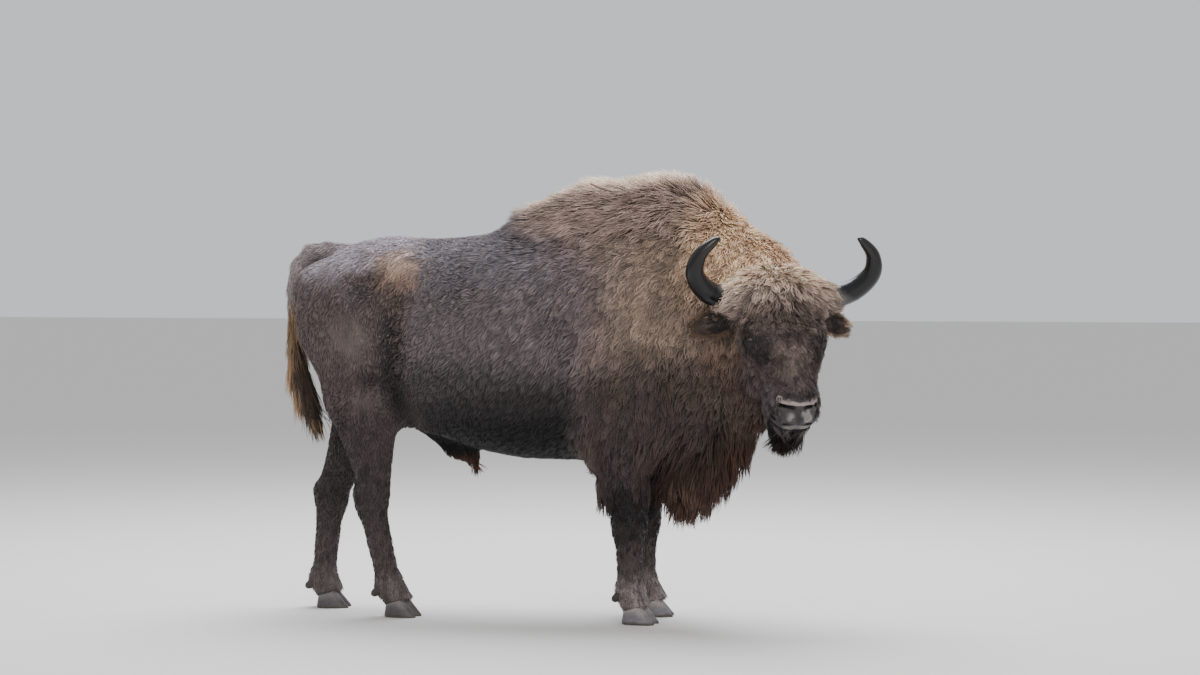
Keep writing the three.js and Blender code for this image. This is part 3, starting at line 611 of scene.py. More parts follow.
def refinedSkin():
    cell = 9.0
    corners, quads = surfaceOf(skinField, [-950, -560, 20], [1420, 390, 1800], cell)
    mesh = meshOf("skin", corners, quads)
    shape = bmesh.new()
    shape.from_mesh(mesh)
    bpy.data.meshes.remove(mesh)

    def wanted(level):
        places = toHead(np.array([face.calc_center_median() for face in shape.faces]))
        x, y, z = places.T
        if level == 0:
            return (x > 110) & (x < 620) & (np.abs(y) < 230) & (z > -260)
        nearEye = fromEye(x, y, z) < 50
        nearNose = (x > 420) & (z > -125)
        return nearEye | nearNose

    for level in range(2):
        chosen = [face for face, near in zip(shape.faces[:], wanted(level)) if near]
        edges = {edge for face in chosen for edge in face.edges}
        bmesh.ops.subdivide_edges(shape, edges=list(edges), cuts=1, use_grid_fill=True)
        places = np.array([vertex.co for vertex in shape.verts])
        near = toHead(places)[:, 0] > 60
        places[near] = settled(places[near], skinField, 2, 3.0)
        for vertex, place in zip(shape.verts, places):
            vertex.co = place
    bmesh.ops.triangulate(shape, faces=[face for face in shape.faces if len(face.verts) > 4])
    points = np.array([vertex.co for vertex in shape.verts])
    faces = [[vertex.index for vertex in face.verts] for face in shape.faces]
    shape.free()
    return points, faces


skinPoints, skinFaces = refinedSkin()
ears = {"earLeft": 1, "earRight": -1}
earPlaces = {}
for key, side in ears.items():
    leaf, count, sides = earLeaf(side)
    start = len(skinPoints)
    skinFaces += [[i + start for i in loop] for loop in outward(leaf, ringFaces(count, sides))]
    skinPoints = np.concatenate([skinPoints, leaf])
    earPlaces[key] = slice(start, len(skinPoints))
print("skin:", len(skinPoints), "corners,", len(skinFaces), "faces")

skinMesh = meshOf("skin", skinPoints, skinFaces)
skinNormals = np.empty(len(skinPoints) * 3, np.float32)
skinMesh.vertices.foreach_get("normal", skinNormals)
skinNormals = skinNormals.reshape(-1, 3).astype(float)


# Which part of the body a point belongs to, and which way the hair lies there
partFields = {
    "body": blend(90, barrel(15), hindquarters(1)),
    "fore": forequarters(1),
    "mane": throatMane(1),
    "sheath": sheath(1),
    "head": inHead(bareHead),
    "tail": bareTail,
}
partFields.update({key: wholeLeg(leg, 1) for key, leg in legs.items()})
partNames = list(partFields) + list(ears)


def sharesOf(points):
    weights = [np.exp(-np.maximum(field(*points.T), 0) / 16) for field in partFields.values()]
    weights = np.stack(weights + [np.zeros(len(points))] * len(ears), axis=1)
    return weights / np.maximum(weights.sum(axis=1, keepdims=True), 1e-9)


def shareOf(shares, *keys):
    return sum(shares[:, partNames.index(key)] for key in keys)


def headingAlong(path, points):
    path = np.array(path, float)
    nearest = np.full(len(points), np.inf)
    heading = np.zeros_like(points)
    for a, b in zip(path[:-1], path[1:]):
        share = np.clip((points - a) @ (b - a) / ((b - a) @ (b - a)), 0, 1)
        reach = np.linalg.norm(points - a - share[:, None] * (b - a), axis=1)
        closer = reach < nearest
        nearest[closer] = reach[closer]
        heading[closer] = (b - a) / np.linalg.norm(b - a)
    return heading


def lieOf(points, shares):
    x, y, z = points.T
    hx, hy, hz = toHead(points).T
    level = 0 * x
    rump, low, side, front, over, top, cheek, underChin = (share[:, None] for share in (
        ramp(-x, 180, 420), ramp(-z, -1150, -800), ramp(-z, -1480, -1300), ramp(x, 600, 950),
        ramp(z, 1440, 1600) * ramp(-x, -1000, -800), ramp(-hx, -150, -70),
        ramp(-hz, 30, 110) * ramp(-hx, -420, -300), ramp(-hz, 66, 96) * ramp(hx, 340, 390)))
    body = mixed(mixed([-0.95, 0, -0.35], [-0.6, 0, -0.75], side), [-0.45, 0, -0.9], rump)
    body = mixed(body, [-0.55, 0, -0.8], low)
    fore = mixed([-0.5, 0, -0.85], [-0.15, -0.1, -1], front)
    fore = mixed(fore, np.stack([level - 0.9, np.sign(y) * 0.35, level - 0.5], 1), over)
    mat = np.stack([level + 0.8, hy / 150, level - 0.2], 1)
    head = mixed(mixed([1.0, 0, 0], mat, top), [0.55, 0, -0.85], cheek)
    lies = {"body": body, "fore": fore, "mane": [-0.1, 0, -1], "sheath": [0.3, 0, -0.9],
            "head": mixed(head @ headBasis, [-0.22, 0.05, -0.95], underChin),
            "tail": headingAlong(tailPath, points)}
    for key, side in ears.items():
        across, out, _ = toEar(points, side).T
        spread = np.stack([across / 30, side * (0.8 + out / 60), level - 0.25], 1)
        lies[key] = spread @ earTurn(side).T @ headBasis
    lie = 0.22 * np.stack([mottle(points, 120, seed) for seed in (11, 12, 13)], 1)
    for i, key in enumerate(partNames):
        lie = lie + shares[:, i:i + 1] * np.array(lies.get(key, [-0.14, 0, -1]))
    return lie


# Markings: the same colours for the skin and for the hair that grows from it
def plain(hexColour, count):
    return np.tile(linear(hexColour), (count, 1))


# Each tint is a colour and how much of it lies there, over the ones before it
def tinted(colour, *tints):
    for hexColour, share in tints:
        colour = mixed(colour, linear(hexColour), np.clip(share, 0, 1)[:, None])
    return colour


# The shaggy hair of the forequarters begins here, further forward low down
def shaggyEdge(z):
    return 230 + 150 * ramp(-z, -1467, -1118)


def trunkMarkings(points, up, uneven, mane):
    x, y, z = points.T
    outside = ramp(np.abs(y), 90, 180)
    rump = ramp(-x + 0.5 * uneven, 270, 400)
    creaseX = -404 + 0.32 * np.maximum(1000 - z, 0)
    foldShade = spot((x, creaseX, 30 + 26 * ramp(z, 760, 1100))) * ramp(z, 620, 760) * ramp(-z, -1310, -1160)
    patch = np.sqrt(((x + 372) / 94) ** 2 + ((z - 1392) / 90) ** 2)
    patch = patch + 0.5 * mottle(points, 36, 4) + 0.3 * mottle(points, 12, 9)
    edge = shaggyEdge(z)
    shaggy = ramp(x + 0.4 * uneven, edge - 70, edge + 110)
    crest = ramp(x, 20, 240) * ramp(-x, -1100, -760) * ramp(z + 0.8 * uneven, 1420, 1640)
    neck = ramp(x - 0.4 * np.maximum(z - 1420, 0), 700, 860) * ramp(z + 0.5 * uneven, 1200, 1420)
    rusty = mane * ramp(mottle(points, 60, 72), 0.1, 0.6) * ramp(z, 560, 700)
    return tinted(
        plain("#6b6264", len(x)),
        # Barrel: greyer along the back, with a painted sky sheen on top; nearly black under the belly, dark
        # hair with painted shade
        ("#726b70", ramp(z + uneven, 1180, 1400)),
        ("#5f595f", 0.8 * spot((x, 70, 130)) * ramp(z, 1380, 1480)),
        # Painted shade on the underside, over the dark hair of the lower barrel and belly
        ("#2c2829", ramp(-z - uneven, -1100, -870)),
        ("#0d0c0c", ramp(-z - uneven, -880, -740)),
        # Rump and thigh: painted shade in the flank fold, stifle hollow, groin and hip dip; the worn ochre
        # patch over the hip bone
        ("#5d514e", rump * ramp(z, 700, 800)),
        ("#5a4f4c", rump * ramp(-z - uneven, -1050, -850)),
        # Painted sky sheen: the rump paler where it faces up
        ("#b5abb0", rump * ramp(up, 0.2, 0.85) * ramp(z, 1200, 1400)),
        # Painted shade in the fold between flank and thigh, the hollow over the stifle and the groin
        ("#191718", 0.88 * foldShade),
        ("#211e1e", 0.78 * spot((x, -462, 84), (z + 0.3 * uneven, 968, 44))),
        ("#151314", 0.85 * spot((x, -368, 46), (z, 850, 100))),
        ("#70645f", 0.4 * spot((x, -530, 80), (z, 1110, 90))),
        # Painted highlight on the swell of the stifle
        ("#6a5f5b", 0.35 * spot((x, -532, 76), (z, 872, 60))),
        # Painted shade in the dip between hip bone and seat bone
        ("#3c3537", 0.6 * spot((x, -505, 80), (z, 1290, 45))),
        ("#a08270", 0.9 * ramp(-patch, -1.5, -0.3) * outside),
        # The top of the patch paler: paler hair, with a painted highlight
        ("#cdb39f", ramp(-patch, -0.95, -0.2) * outside * ramp(z, 1340, 1420)),
        ("#57463c", 0.6 * spot((x, -366, 80), (z, 1282, 56)) * outside),
        # Shaggy forequarters: tan over the shoulder, darker low down, bleached along crest and neck; painted
        # highlight on the crest's top
        ("#746668", shaggy),
        ("#94806f", shaggy * ramp(x + uneven, 380, 620) * ramp(z, 900, 1150)),
        ("#3f3430", shaggy * ramp(-z - uneven, -1150, -930)),
        ("#40342f", shaggy * ramp(-z - uneven, -900, -720)),
        ("#9d887c", crest),
        # Painted highlight where the crest faces up
        ("#e9d2bb", crest * ramp(up, 0.82, 1)),
        ("#efcba5", 0.95 * neck),
        # Mane under the throat, and the dark brisket: dark hair with painted shade underneath
        ("#110c0b", mane),
        ("#564439", mane * ramp(-z, -760, -600)),
        ("#4a3228", 0.7 * rusty),
        ("#151312", ramp(-z, -740, -650) * ramp(x, -200, 0) * (1 - mane)))


def limbMarkings(colour, points, normals, shares):
    z = points[:, 2]
    hind = shareOf(shares, "hindLeft", "hindRight") * ramp(-z, -900, -760)
    fore = shareOf(shares, "foreLeft", "foreRight") * ramp(-z, -860, -700)
    tail = shareOf(shares, "tail")
    ahead = normals[:, 0] + 0.25 * mottle(points, 30, 77)
    return tinted(
        colour,
        # Legs: dark brown, blackest at the knee, greyer again down to the hooves
        ("#4a403e", hind),
        ("#3a3030", hind * spot((z, 480, 130))),
        ("#463a37", fore),
        ("#1d1a1a", fore * spot((z, 440, 130))),
        ("#4b423f", (hind + fore) * ramp(-z, -340, -220)),
        ("#958a85", (fore + 0.35 * hind) * ramp(-z, -230, -110) * (0.7 + 0.4 * mottle(points, 30, 5))),
        # Tail: grey at the root, golden behind and dark ahead, and the brown end of the sheath
        ("#a79c99", tail),
        ("#a1835f", tail * ramp(-z, -1300, -1180)),
        ("#2a211d", 0.93 * tail * ramp(-z, -1200, -1060) * ramp(ahead, -0.62, -0.25)),
        ("#5a3d2e", 0.8 * shareOf(shares, "sheath") * ramp(-z, -668, -640)))


def faceMarkings(points, uneven):
    hx, hy, hz = toHead(points).T
    across = np.abs(hy)
    inMat = ramp(-hx, -190, -150) * ramp(hz, -60, 0)
    brow = spot((hx, 150, 24), (across, 112, 46)) * ramp(hz, -30, 10)
    eyeReach = fromEye(hx, hy, hz)
    betweenPads = spot((hy, 0, 13), (hz, -16, 26)) * ramp(hx, 480, 505)
    fade = 0.12 * across - 3 * mottle(points, 12, 74)
    wetPadGlint = np.sqrt(((hx - 518) / 26) ** 2 + ((across - 33) / 17) ** 2 + ((hz + 8) / 22) ** 2)
    wetPadGlint = wetPadGlint + 0.8 * mottle(points, 15, 8)
    lipLine = np.minimum(limb(mouthLine[0], mouthLine[1], 6, 6)(hx, across, hz),
                         limb(mouthLine[1], mouthLine[2], 6, 5)(hx, across, hz))
    return tinted(
        plain("#574b48", len(hx)),
        # A pale mat of hair on the forehead, browner towards the face and behind
        ("#c8b6a9", ramp(-hx + 0.35 * uneven, -130, -30) * ramp(hz, -60, 0)),
        ("#ecd0b4", ramp(-hx + 0.5 * uneven, -30, 60) * ramp(hz, -60, 0)),
        ("#8f7c72", ramp(hx + 0.5 * uneven, -30, 60) * inMat),
        ("#594c46", ramp(hx + 0.4 * uneven, 44, 112) * inMat),
        ("#a98b72", ramp(-hx, -70, -10) * ramp(-hz, 0, 60)),
        ("#634a3a", ramp(-hz, 60, 120) * ramp(-hx, -300, -160)),
        # Brow, painted shadow under the jaw, the dark round the eyes, the bridge and the sides of the muzzle
        ("#7d7069", 0.7 * brow * (0.8 + 0.4 * mottle(points, 14, 71))),
        # Painted shadow under the jaw
        ("#241b18", ramp(-hz + 0.2 * uneven, 130, 190) * ramp(-hx, -400, -340)),
        ("#29231f", ramp(-eyeReach, -56, -30)),
        ("#1f1a1a", spot((hx, 258, 40), (across, 108, 34)) * ramp(hz, -70, -20)),
        ("#6e6059", ramp(hx, 205, 250) * ramp(-hx, -400, -330) * ramp(-across, -90, -50) * ramp(hz, 0, 30)),
        ("#5a5053", ramp(hx, 330, 420) * ramp(-hz, 0, 50)),
        ("#1b191a", ramp(hx + 0.3 * uneven, 404, 440) * ramp(hz, -10, 16)),
        ("#565053", 0.8 * ramp(hx + 0.3 * uneven, 340, 400) * ramp(-hx, -500, -440) * spot((hz, -20, 30))
         * ramp(across, 50, 80)),
        # Bare nose with painted highlights on its pale upper edge, the wet pads and the lower lip; lips,
        # chin, lids and nostrils
        ("#403b3c", ramp(hx - 0.35 * across, 432, 456) * ramp(hz, -72, -60)),
        ("#1f1c1b", 0.8 * betweenPads),
        # The pale upper edge of the nose: grey skin with a painted reflection of the sky
        ("#a3958f", 0.95 * ramp(fade - fromNoseEdge(hx, hy, hz), -8, -3)),
        # Painted highlights on the wet pads under the nostrils
        ("#98928d", 0.9 * ramp(-wetPadGlint, -1.3, -0.4)),
        # The lower lip paler: pale grey skin with a painted wet highlight
        ("#75726d", ramp(hx, 470, 500) * ramp(-np.abs(hz + 62), -20, -10) * ramp(-across, -60, -40)),
        ("#0d0b0b", ramp(-lipLine, -5, 1)),
        ("#0b0a0a", ramp(-hz, 78, 92) * ramp(hx, 400, 440)),
        ("#100d0c", ramp(-eyeReach, -30, -24)),
        ("#0d0a0a", ramp(-fromNostril(hx, hy, hz), -4, 2)))


# Dark hair under the horn, between the eye and the ear, with painted shade in the hollow there
def underHorn(points):
    hx, hy, hz = toHead(points).T
    return np.exp(-(((hx - 82) / 74) ** 2 + ((np.abs(hy) - 196) / 44) ** 2 + ((hz + 84) / 70) ** 2) ** 2)


def markings(points, normals, shares):
    x, _, z = points.T
    hx, hy, hz = toHead(points).T
    uneven = 60 * mottle(points, 210, 1) + 25 * mottle(points, 70, 2)
    mane = np.clip(shareOf(shares, "mane") * 1.3, 0, 1) * ramp(-z, -1120, -940)
    colour = limbMarkings(trunkMarkings(points, normals[:, 2], uneven, mane), points, normals, shares)
    head = shareOf(shares, "head")
    colour = mixed(colour, faceMarkings(points, uneven), head[:, None])
    behindJaw = spot((hx, 190, 130), (np.abs(hy), 222, 62), (hz, -180, 80))
    throat = ramp(x - 0.25 * (z - 850) + 0.4 * uneven, 880, 980) * ramp(-z, -1090, -960) * (1 - head)
    colour = tinted(
        colour,
        # Rusty hair behind the jaw and down the throat
        ("#60412f", 0.8 * behindJaw * (0.8 + 0.4 * mottle(points, 40, 73)) * (1 - 0.5 * head)),
        ("#40291e", 0.6 * throat * (0.75 + 0.6 * mottle(points, 50, 75))),
        # Dark hair and painted shade in the hollow under the horn
        ("#171211", 0.95 * underHorn(points)))
    for key, side in ears.items():
        leaf = shareOf(shares, key)
        edge, facing = earEdge(points, normals, side)
        # Painted shade inside the ear's hollow, with tan hair mottled through it
        inside = leaf * ramp(facing, 0, 0.4) * ramp(-edge, -0.95, -0.6)
        # The far ear's rim is painted much paler than the near one's: a painted highlight on its edge
        rimColour = "#b09b86" if side > 0 else "#6b5342"
        colour = tinted(colour, ("#5d4b40", leaf), ("#1a1514", inside),
                        ("#57493f", 0.7 * inside * ramp(mottle(points, 14, 78), 0, 0.5)),
                        (rimColour, leaf * ramp(edge, 0.78, 0.95) * ramp(facing, -0.9, -0.1)))
    shade = 1 + (0.14 + 0.22 * head) * mottle(points, 30, 6) + 0.12 * mottle(points, 9, 7)
    return np.clip(colour * shade[:, None] * [1, 1, 1.04], 0, 1)


# Materials
def addNode(tree, kind, settings=None, links=None):
    node = tree.nodes.new(kind)
    for name, value in (settings or {}).items():
        if name in node.inputs and not hasattr(type(node), name):
            node.inputs[name].default_value = value
        else:
            setattr(node, name, value)
    for name, source in (links or {}).items():
        tree.links.new(source, node.inputs[name])
    return node


def newMaterial(name):
    material = bpy.data.materials.new(name)
    material.use_nodes = True
    material.node_tree.nodes.clear()
    return material, material.node_tree


# Base colour from the markings, made darker and lighter by depth in grain of the given size in millimetres,
# which is also the height of the bump where there is one
def markedMaterial(name, grain, depth, settings, bump=None):
    material, tree = newMaterial(name)
    marking = addNode(tree, "ShaderNodeAttribute", {"attribute_name": "marking"})
    place = addNode(tree, "ShaderNodeTexCoord")
    noise = addNode(tree, "ShaderNodeTexNoise", {"Scale": 1000 / grain, "Detail": 3.0, "Roughness": 0.6},
                    {"Vector": place.outputs["Object"]})
    shade = addNode(tree, "ShaderNodeMapRange", {"From Min": 0.3, "From Max": 0.7, "To Min": 1 - depth,
                                                 "To Max": 1 + depth}, {"Value": noise.outputs["Fac"]})
    colour = addNode(tree, "ShaderNodeVectorMath", {"operation": "SCALE"},
                     {0: marking.outputs["Color"], "Scale": shade.outputs["Result"]})
    links = {"Base Color": colour.outputs["Vector"]}
    if bump:
        bumped = addNode(tree, "ShaderNodeBump", bump, {"Height": noise.outputs["Fac"]})
        links["Normal"] = bumped.outputs["Normal"]
    shader = addNode(tree, "ShaderNodeBsdfPrincipled", settings, links)
    addNode(tree, "ShaderNodeOutputMaterial", {}, {"Surface": shader.outputs["BSDF"]})
    return material


# Hide under the coat and the bare skin of the nose: fine pebbled skin and close-lying hair as bump
bisonHide = markedMaterial("bison hide with fine close hair", 4.5, 0.2,
                           {"Roughness": 0.62, "IOR": 1.45, "Specular IOR Level": 0.35, "Sheen Weight": 0.08},
                           {"Strength": 0.5, "Distance": 0.0012})


# Horn: smooth dark keratin, with a faint streaky grain under a dull gloss
def hornMaterial(name, roughness):
    return markedMaterial(name, 6.0, 0.25, {"Roughness": roughness, "IOR": 1.54, "Specular IOR Level": 0.34},
                          {"Strength": 0.25, "Distance": 0.0006})


# Bison hair by slot, with its roughness and sheen: dull, with a faint soft sheen, streaked from lock to lock
hairs = {
    "body_coat": ["short grizzled bison hair", 0.6, 0.05],
    "hump_coat": ["shaggy forequarter bison hair", 0.75, 0.12],
    "mane_coat": ["long dark mane hair", 0.7, 0.03],
    "leg_coat": ["close dark leg hair", 0.62, 0.04],
    "head_coat": ["short and matted head hair", 0.68, 0.1],
    "beard": ["long black beard hair", 0.6, 0.02],
    "tail_coat": ["tail hair", 0.68, 0.1],
    "tail_tuft": ["long golden tail hair", 0.62, 0.1],
}
coatMaterials = {
    slot: markedMaterial(name, 2.2, 0.22, {"Roughness": roughness, "IOR": 1.5, "Specular IOR Level": 0.22,
                                           "Sheen Weight": sheen, "Sheen Roughness": 0.45})
    for slot, (name, roughness, sheen) in hairs.items()
}


def setMarking(mesh, colours):
    layer = mesh.attributes.new("marking", "FLOAT_COLOR", "POINT")
    values = np.ones((len(colours), 4), np.float32)
    values[:, :3] = colours
    layer.data.foreach_set("color", values.ravel())


# The skin piece
skinShares = sharesOf(skinPoints)
for key, places in earPlaces.items():
    skinShares[places] = np.eye(len(partNames))[partNames.index(key)]
skinColours = markings(skinPoints, skinNormals, skinShares)
skinPiece = pieceOf("skin", skinMesh, bisonHide)
skinMesh.vertices.foreach_set("co", toScene(skinPoints).astype(np.float32).ravel())
skinMesh.update()
# Skin darker than the hair over it: the darker undercoat, with painted shade of the coat's depth
setMarking(skinMesh, skinColours * 0.75)     # darker than the hair over it, as in the depth of a coat
fleshNodes = ["hindquarters", "trunk", "shoulders", "neck", "throat_mane", "sheath", "head", "muzzle",
              "lower_jaw", "ear_left", "ear_right", "tail", "tail_tuft"]
fleshNodes += [leg["node"] + "_" + part for leg in legs.values() for part in ("upper", "lower", "pastern")]
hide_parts(*fleshNodes)
print("skin coloured")


# The coat
# Each kind of hair: length and width in mm, locks per square metre, how much they gather to a leading lock
# and curl, how far their tips hang, and the share of the coat's depth that they reach
kindSettings = ["length", "width", "perMetre", "gather", "curl", "hang", "reach"]
kinds = {
    "body": [40, 4.7, 14800, 0.5, 0.2, 0.1, 0.95],
    "fore": [56, 5.8, 12500, 0.6, 0.9, 0.2, 0.95],
    "crest": [108, 5, 18000, 0.35, 0.35, 0, 1.32],
    "mane": [125, 7.5, 10500, 0.6, 0.4, 0.8, 1],
    "thigh": [30, 4.7, 16000, 0.45, 0.2, 0.1, 1],
    "leg": [21, 4.2, 15000, 0.4, 0.15, 0.1, 1],
    "face": [30, 3.1, 38000, 0.62, 1, 0.1, 1.9],
    "mat": [70, 3.7, 29000, 0.6, 0.7, 0.3, 1.25],
    "cheek": [46, 4.6, 22000, 0.5, 0.4, 0.5, 1],
    "beard": [112, 5.5, 40000, 0.3, 0.25, 0.75, 0.85],
    "chaps": [92, 5.5, 17000, 0.55, 0.4, 0.5, 1.05],
    "tail": [32, 4.5, 22000, 0.35, 0.2, 0.2, 1],
    "tuft": [165, 5.2, 26000, 0.45, 0.35, 0.75, 1.6],
    "ear": [26, 2.6, 36000, 0.4, 0.3, 0.2, 0.7],
    "sheath": [30, 4.5, 24000, 0.5, 0.2, 0.4, 0.4],
}
kindNames = list(kinds)
kindTable = np.array(list(kinds.values()), float)

# The pieces of the coat: their kinds of hair, segments to a lock and material slot
coatPieces = {
    "coat_body": [["body"], 2, "body_coat"],
    "coat_forequarters": [["fore"], 3, "hump_coat"],
    "coat_hump": [["crest"], 4, "hump_coat"],
    "coat_mane": [["mane", "sheath"], 4, "mane_coat"],
    "coat_thighs": [["thigh"], 2, "leg_coat"],
    "coat_legs": [["leg"], 2, "leg_coat"],
    "coat_chaps": [["chaps"], 4, "leg_coat"],
    "coat_face": [["face", "ear"], 2, "head_coat"],
    "coat_forehead": [["mat"], 5, "head_coat"],
    "coat_cheeks": [["cheek"], 3, "head_coat"],
    "coat_beard": [["beard"], 5, "beard"],
    "coat_tail": [["tail"], 2, "tail_coat"],
    "coat_tail_tuft": [["tuft"], 6, "tail_tuft"],
}
# leaders: leading locks to one other; reach: mm over which a lock follows its leader; thick: height over
# width; most: triangles in one piece; patch and base: sides of the places of a lock and of its root in
# the bake map
coat = {"leaders": 0.065, "reach": 45, "thick": 0.34, "most": 190000, "patch": 0.003, "base": 0.0004,
        "quickShare": 0.45, "quickWidth": 1.45}


# The share of each kind at a place comes from its part of the body
def kindsAt(points, shares):
    x, _, z = points.T
    hx, hy, hz = toHead(points).T
    part = dict(zip(partNames, shares.T))
    edge = shaggyEdge(z) + 30 * mottle(points, 60, 21)
    shaggy = ramp(x, edge - 40, edge + 60)
    trunk = part["body"] + part["fore"]
    crest = ramp(x + 40 * mottle(points, 50, 23), 0, 160) * ramp(-x, -980, -860)
    crest = crest * ramp(z + 40 * mottle(points, 60, 24), 1500, 1600)
    hind = part["hindLeft"] + part["hindRight"]
    thigh = ramp(z, 560, 700)
    foreleg = part["foreLeft"] + part["foreRight"]
    upper = foreleg * ramp(z, 455, 500)
    shoulder = ramp(z, 520, 620)
    behind = np.maximum(ramp(-(x - 500), -40, 40), ramp(x, 570, 610) * ramp(z, 480, 560))
    lowChest = ramp(x, 590, 660) * ramp(-z, -780, -690)
    matEdge = 136 - 34 * ramp(np.abs(hy), 70, 140) + 14 * mottle(points, 30, 22)
    mat = ramp(matEdge - hx, -14, 14) * ramp(hz, -90, -40)
    chin = ramp(-hz, 74, 90) * ramp(hx, 350, 400) * ramp(-np.abs(hy), -82, -62)
    cheek = np.maximum(ramp(-hz, 70, 120) * ramp(-hx, -420, -330), ramp(-hx, -120, -60))
    cheek = cheek * (1 - mat) * (1 - chin)
    tuft = part["tail"] * ramp(-z, -1230, -1110)
    share = {
        "body": trunk * (1 - crest) * (1 - shaggy),
        "fore": (trunk * (1 - crest) * shaggy + upper * (1 - behind) * shoulder) * (1 - lowChest),
        "crest": trunk * crest,
        "mane": part["mane"] + trunk * lowChest,
        "thigh": hind * thigh + upper * (1 - behind) * (1 - shoulder),
        "leg": hind * (1 - thigh) + (foreleg - upper),
        "face": part["head"] * (1 - mat) * (1 - cheek) * (1 - chin),
        "mat": part["head"] * mat,
        "cheek": part["head"] * cheek,
        "beard": part["head"] * (1 - mat) * chin,
        "chaps": upper * behind,
        "tail": part["tail"] - tuft,
        "tuft": tuft,
        "ear": part["earLeft"] + part["earRight"],
        "sheath": part["sheath"],
    }
    return np.stack([share[key] for key in kindNames], axis=1)


def blended(kindShares, setting):
    return kindShares @ kindTable[:, kindSettings.index(setting)]


# No hair grows on the lids, the nose, the lips and the line of the mouth
def bare(points):
    hx, hy, hz = toHead(points).T
    across = np.abs(hy)
    bald = ramp(-fromEye(hx, hy, hz), -31, -27) + ramp(-fromNostril(hx, hy, hz), -9, -5)
    bald = bald + ramp(hx, 452, 470) * ramp(hz, -56, -46) * ramp(-across, -76, -64)
    bald = bald + ramp(hx, 480, 496) * ramp(-np.abs(hz + 56), -22, -16)
    bald = bald + ramp(-limb(mouthLine[2], mouthLine[3], 8, 6)(hx, across, hz), -3, 0)
    bald = bald + ramp(-fromNoseEdge(hx, hy, hz), -12, -8)
    return np.clip(bald, 0, 1) * (inHead(bareHead)(*points.T) < 25)


# The hollow of an ear is nearly bare, and its rim has the most hair
def earHair(points, normals, shares):
    density = np.ones(len(points))
    for key, side in ears.items():
        edge, facing = earEdge(points, normals, side)
        density = density - shareOf(shares, key) * 0.7 * ramp(facing, 0, 0.4) * ramp(-edge, -0.85, -0.6)
    return density


def trianglesOf(mesh):
    mesh.calc_loop_triangles()
    corners = np.empty(len(mesh.loop_triangles) * 3, np.int32)
    mesh.loop_triangles.foreach_get("vertices", corners)
    return corners.reshape(-1, 3)


def alongSkin(lie, normal):
    return unit(lie - normal * (lie * normal).sum(axis=1, keepdims=True))


# Roots spread over the skin by area, each with the way its hair lies, its kinds and the depth of the coat
def rootsOn(triangles, thinned):
    a, b, c = (skinPoints[triangles[:, i]] for i in range(3))
    crossed = np.cross(b - a, c - a)
    area = np.linalg.norm(crossed, axis=1) / 2
    middle = (a + b + c) / 3
    middleShares = skinShares[triangles].mean(axis=1)
    density = blended(kindsAt(middle, middleShares), "perMetre") * 1e-6 * thinned * (1 - bare(middle))
    density = density * earHair(middle, unit(crossed), middleShares)
    which = np.repeat(np.arange(len(area)), np.floor(area * density + dice.random(len(area))).astype(int))
    p, q = dice.random(len(which)), dice.random(len(which))
    folded = p + q > 1
    p[folded], q[folded] = 1 - p[folded], 1 - q[folded]
    weights = np.stack([1 - p - q, p, q], axis=1)[:, :, None]
    place, normal, shares = ((values[triangles[which]] * weights).sum(axis=1)
                             for values in (skinPoints, skinNormals, skinShares))
    normal = unit(normal)
    lie = alongSkin(lieOf(place, shares), normal)
    tousled = 0.7 * ramp(place[:, 2], 1480, 1580) * ramp(place[:, 0], 300, 500)
    lie = lie + tousled[:, None] * np.stack([mottle(place, 30, seed) for seed in (61, 62, 63)], 1)
    onEar = shareOf(shares, *ears)
    return {"place": place, "normal": normal, "shares": shares, "kinds": kindsAt(place, shares),
            "lie": alongSkin(lie, normal), "depth": mixed(np.clip(-coatTips(*place.T), 2, 90), 15, onEar)}


# The mane is longest under the brisket, the sheath ends in a tuft, and loin and flank are short and flat
def lengthOf(roots):
    x, _, z = roots["place"].T
    part = dict(zip(kindNames, roots["kinds"].T))
    longer = (0.45 * part["mane"] * ramp(-z, -820, -640) + 1.8 * part["sheath"] * ramp(x, -185, -140)
              * ramp(-z, -660, -630) - 0.28 * part["body"] * ramp(-x, -200, 200))
    return blended(roots["kinds"], "length") * (1 + longer)


# Centre lines from the roots: they rise towards the outer shape of the coat, then lie over and hang
def centreLines(roots, length, steepness, turn, segments):
    normal, lie = roots["normal"], roots["lie"]
    reach, curl, hang = (blended(roots["kinds"], key) for key in ("reach", "curl", "hang"))
    lift = np.arcsin(np.clip(reach * roots["depth"] / length, 0.1, 0.97)) * steepness
    phase = 6.28 * turn
    across = np.cross(normal, lie)
    place = roots["place"] - 1.5 * normal
    line = [place]
    for t in (np.arange(segments) + 0.5) / segments:
        angle = lift * (1.35 - 0.7 * t)
        swing = curl * np.sin(phase + 5.2 * t) * (0.4 + 0.6 * t)
        bounce = curl * 0.6 * np.cos(phase * 1.7 + 5.2 * t)
        heading = (lie * np.cos(angle)[:, None] + normal * (np.sin(angle) + 0.5 * bounce)[:, None]
                   + across * swing[:, None] + down * (hang * t * 0.9)[:, None])
        place = place + unit(heading) * (length / segments)[:, None]
        line.append(place)
    return np.stack(line, axis=1)


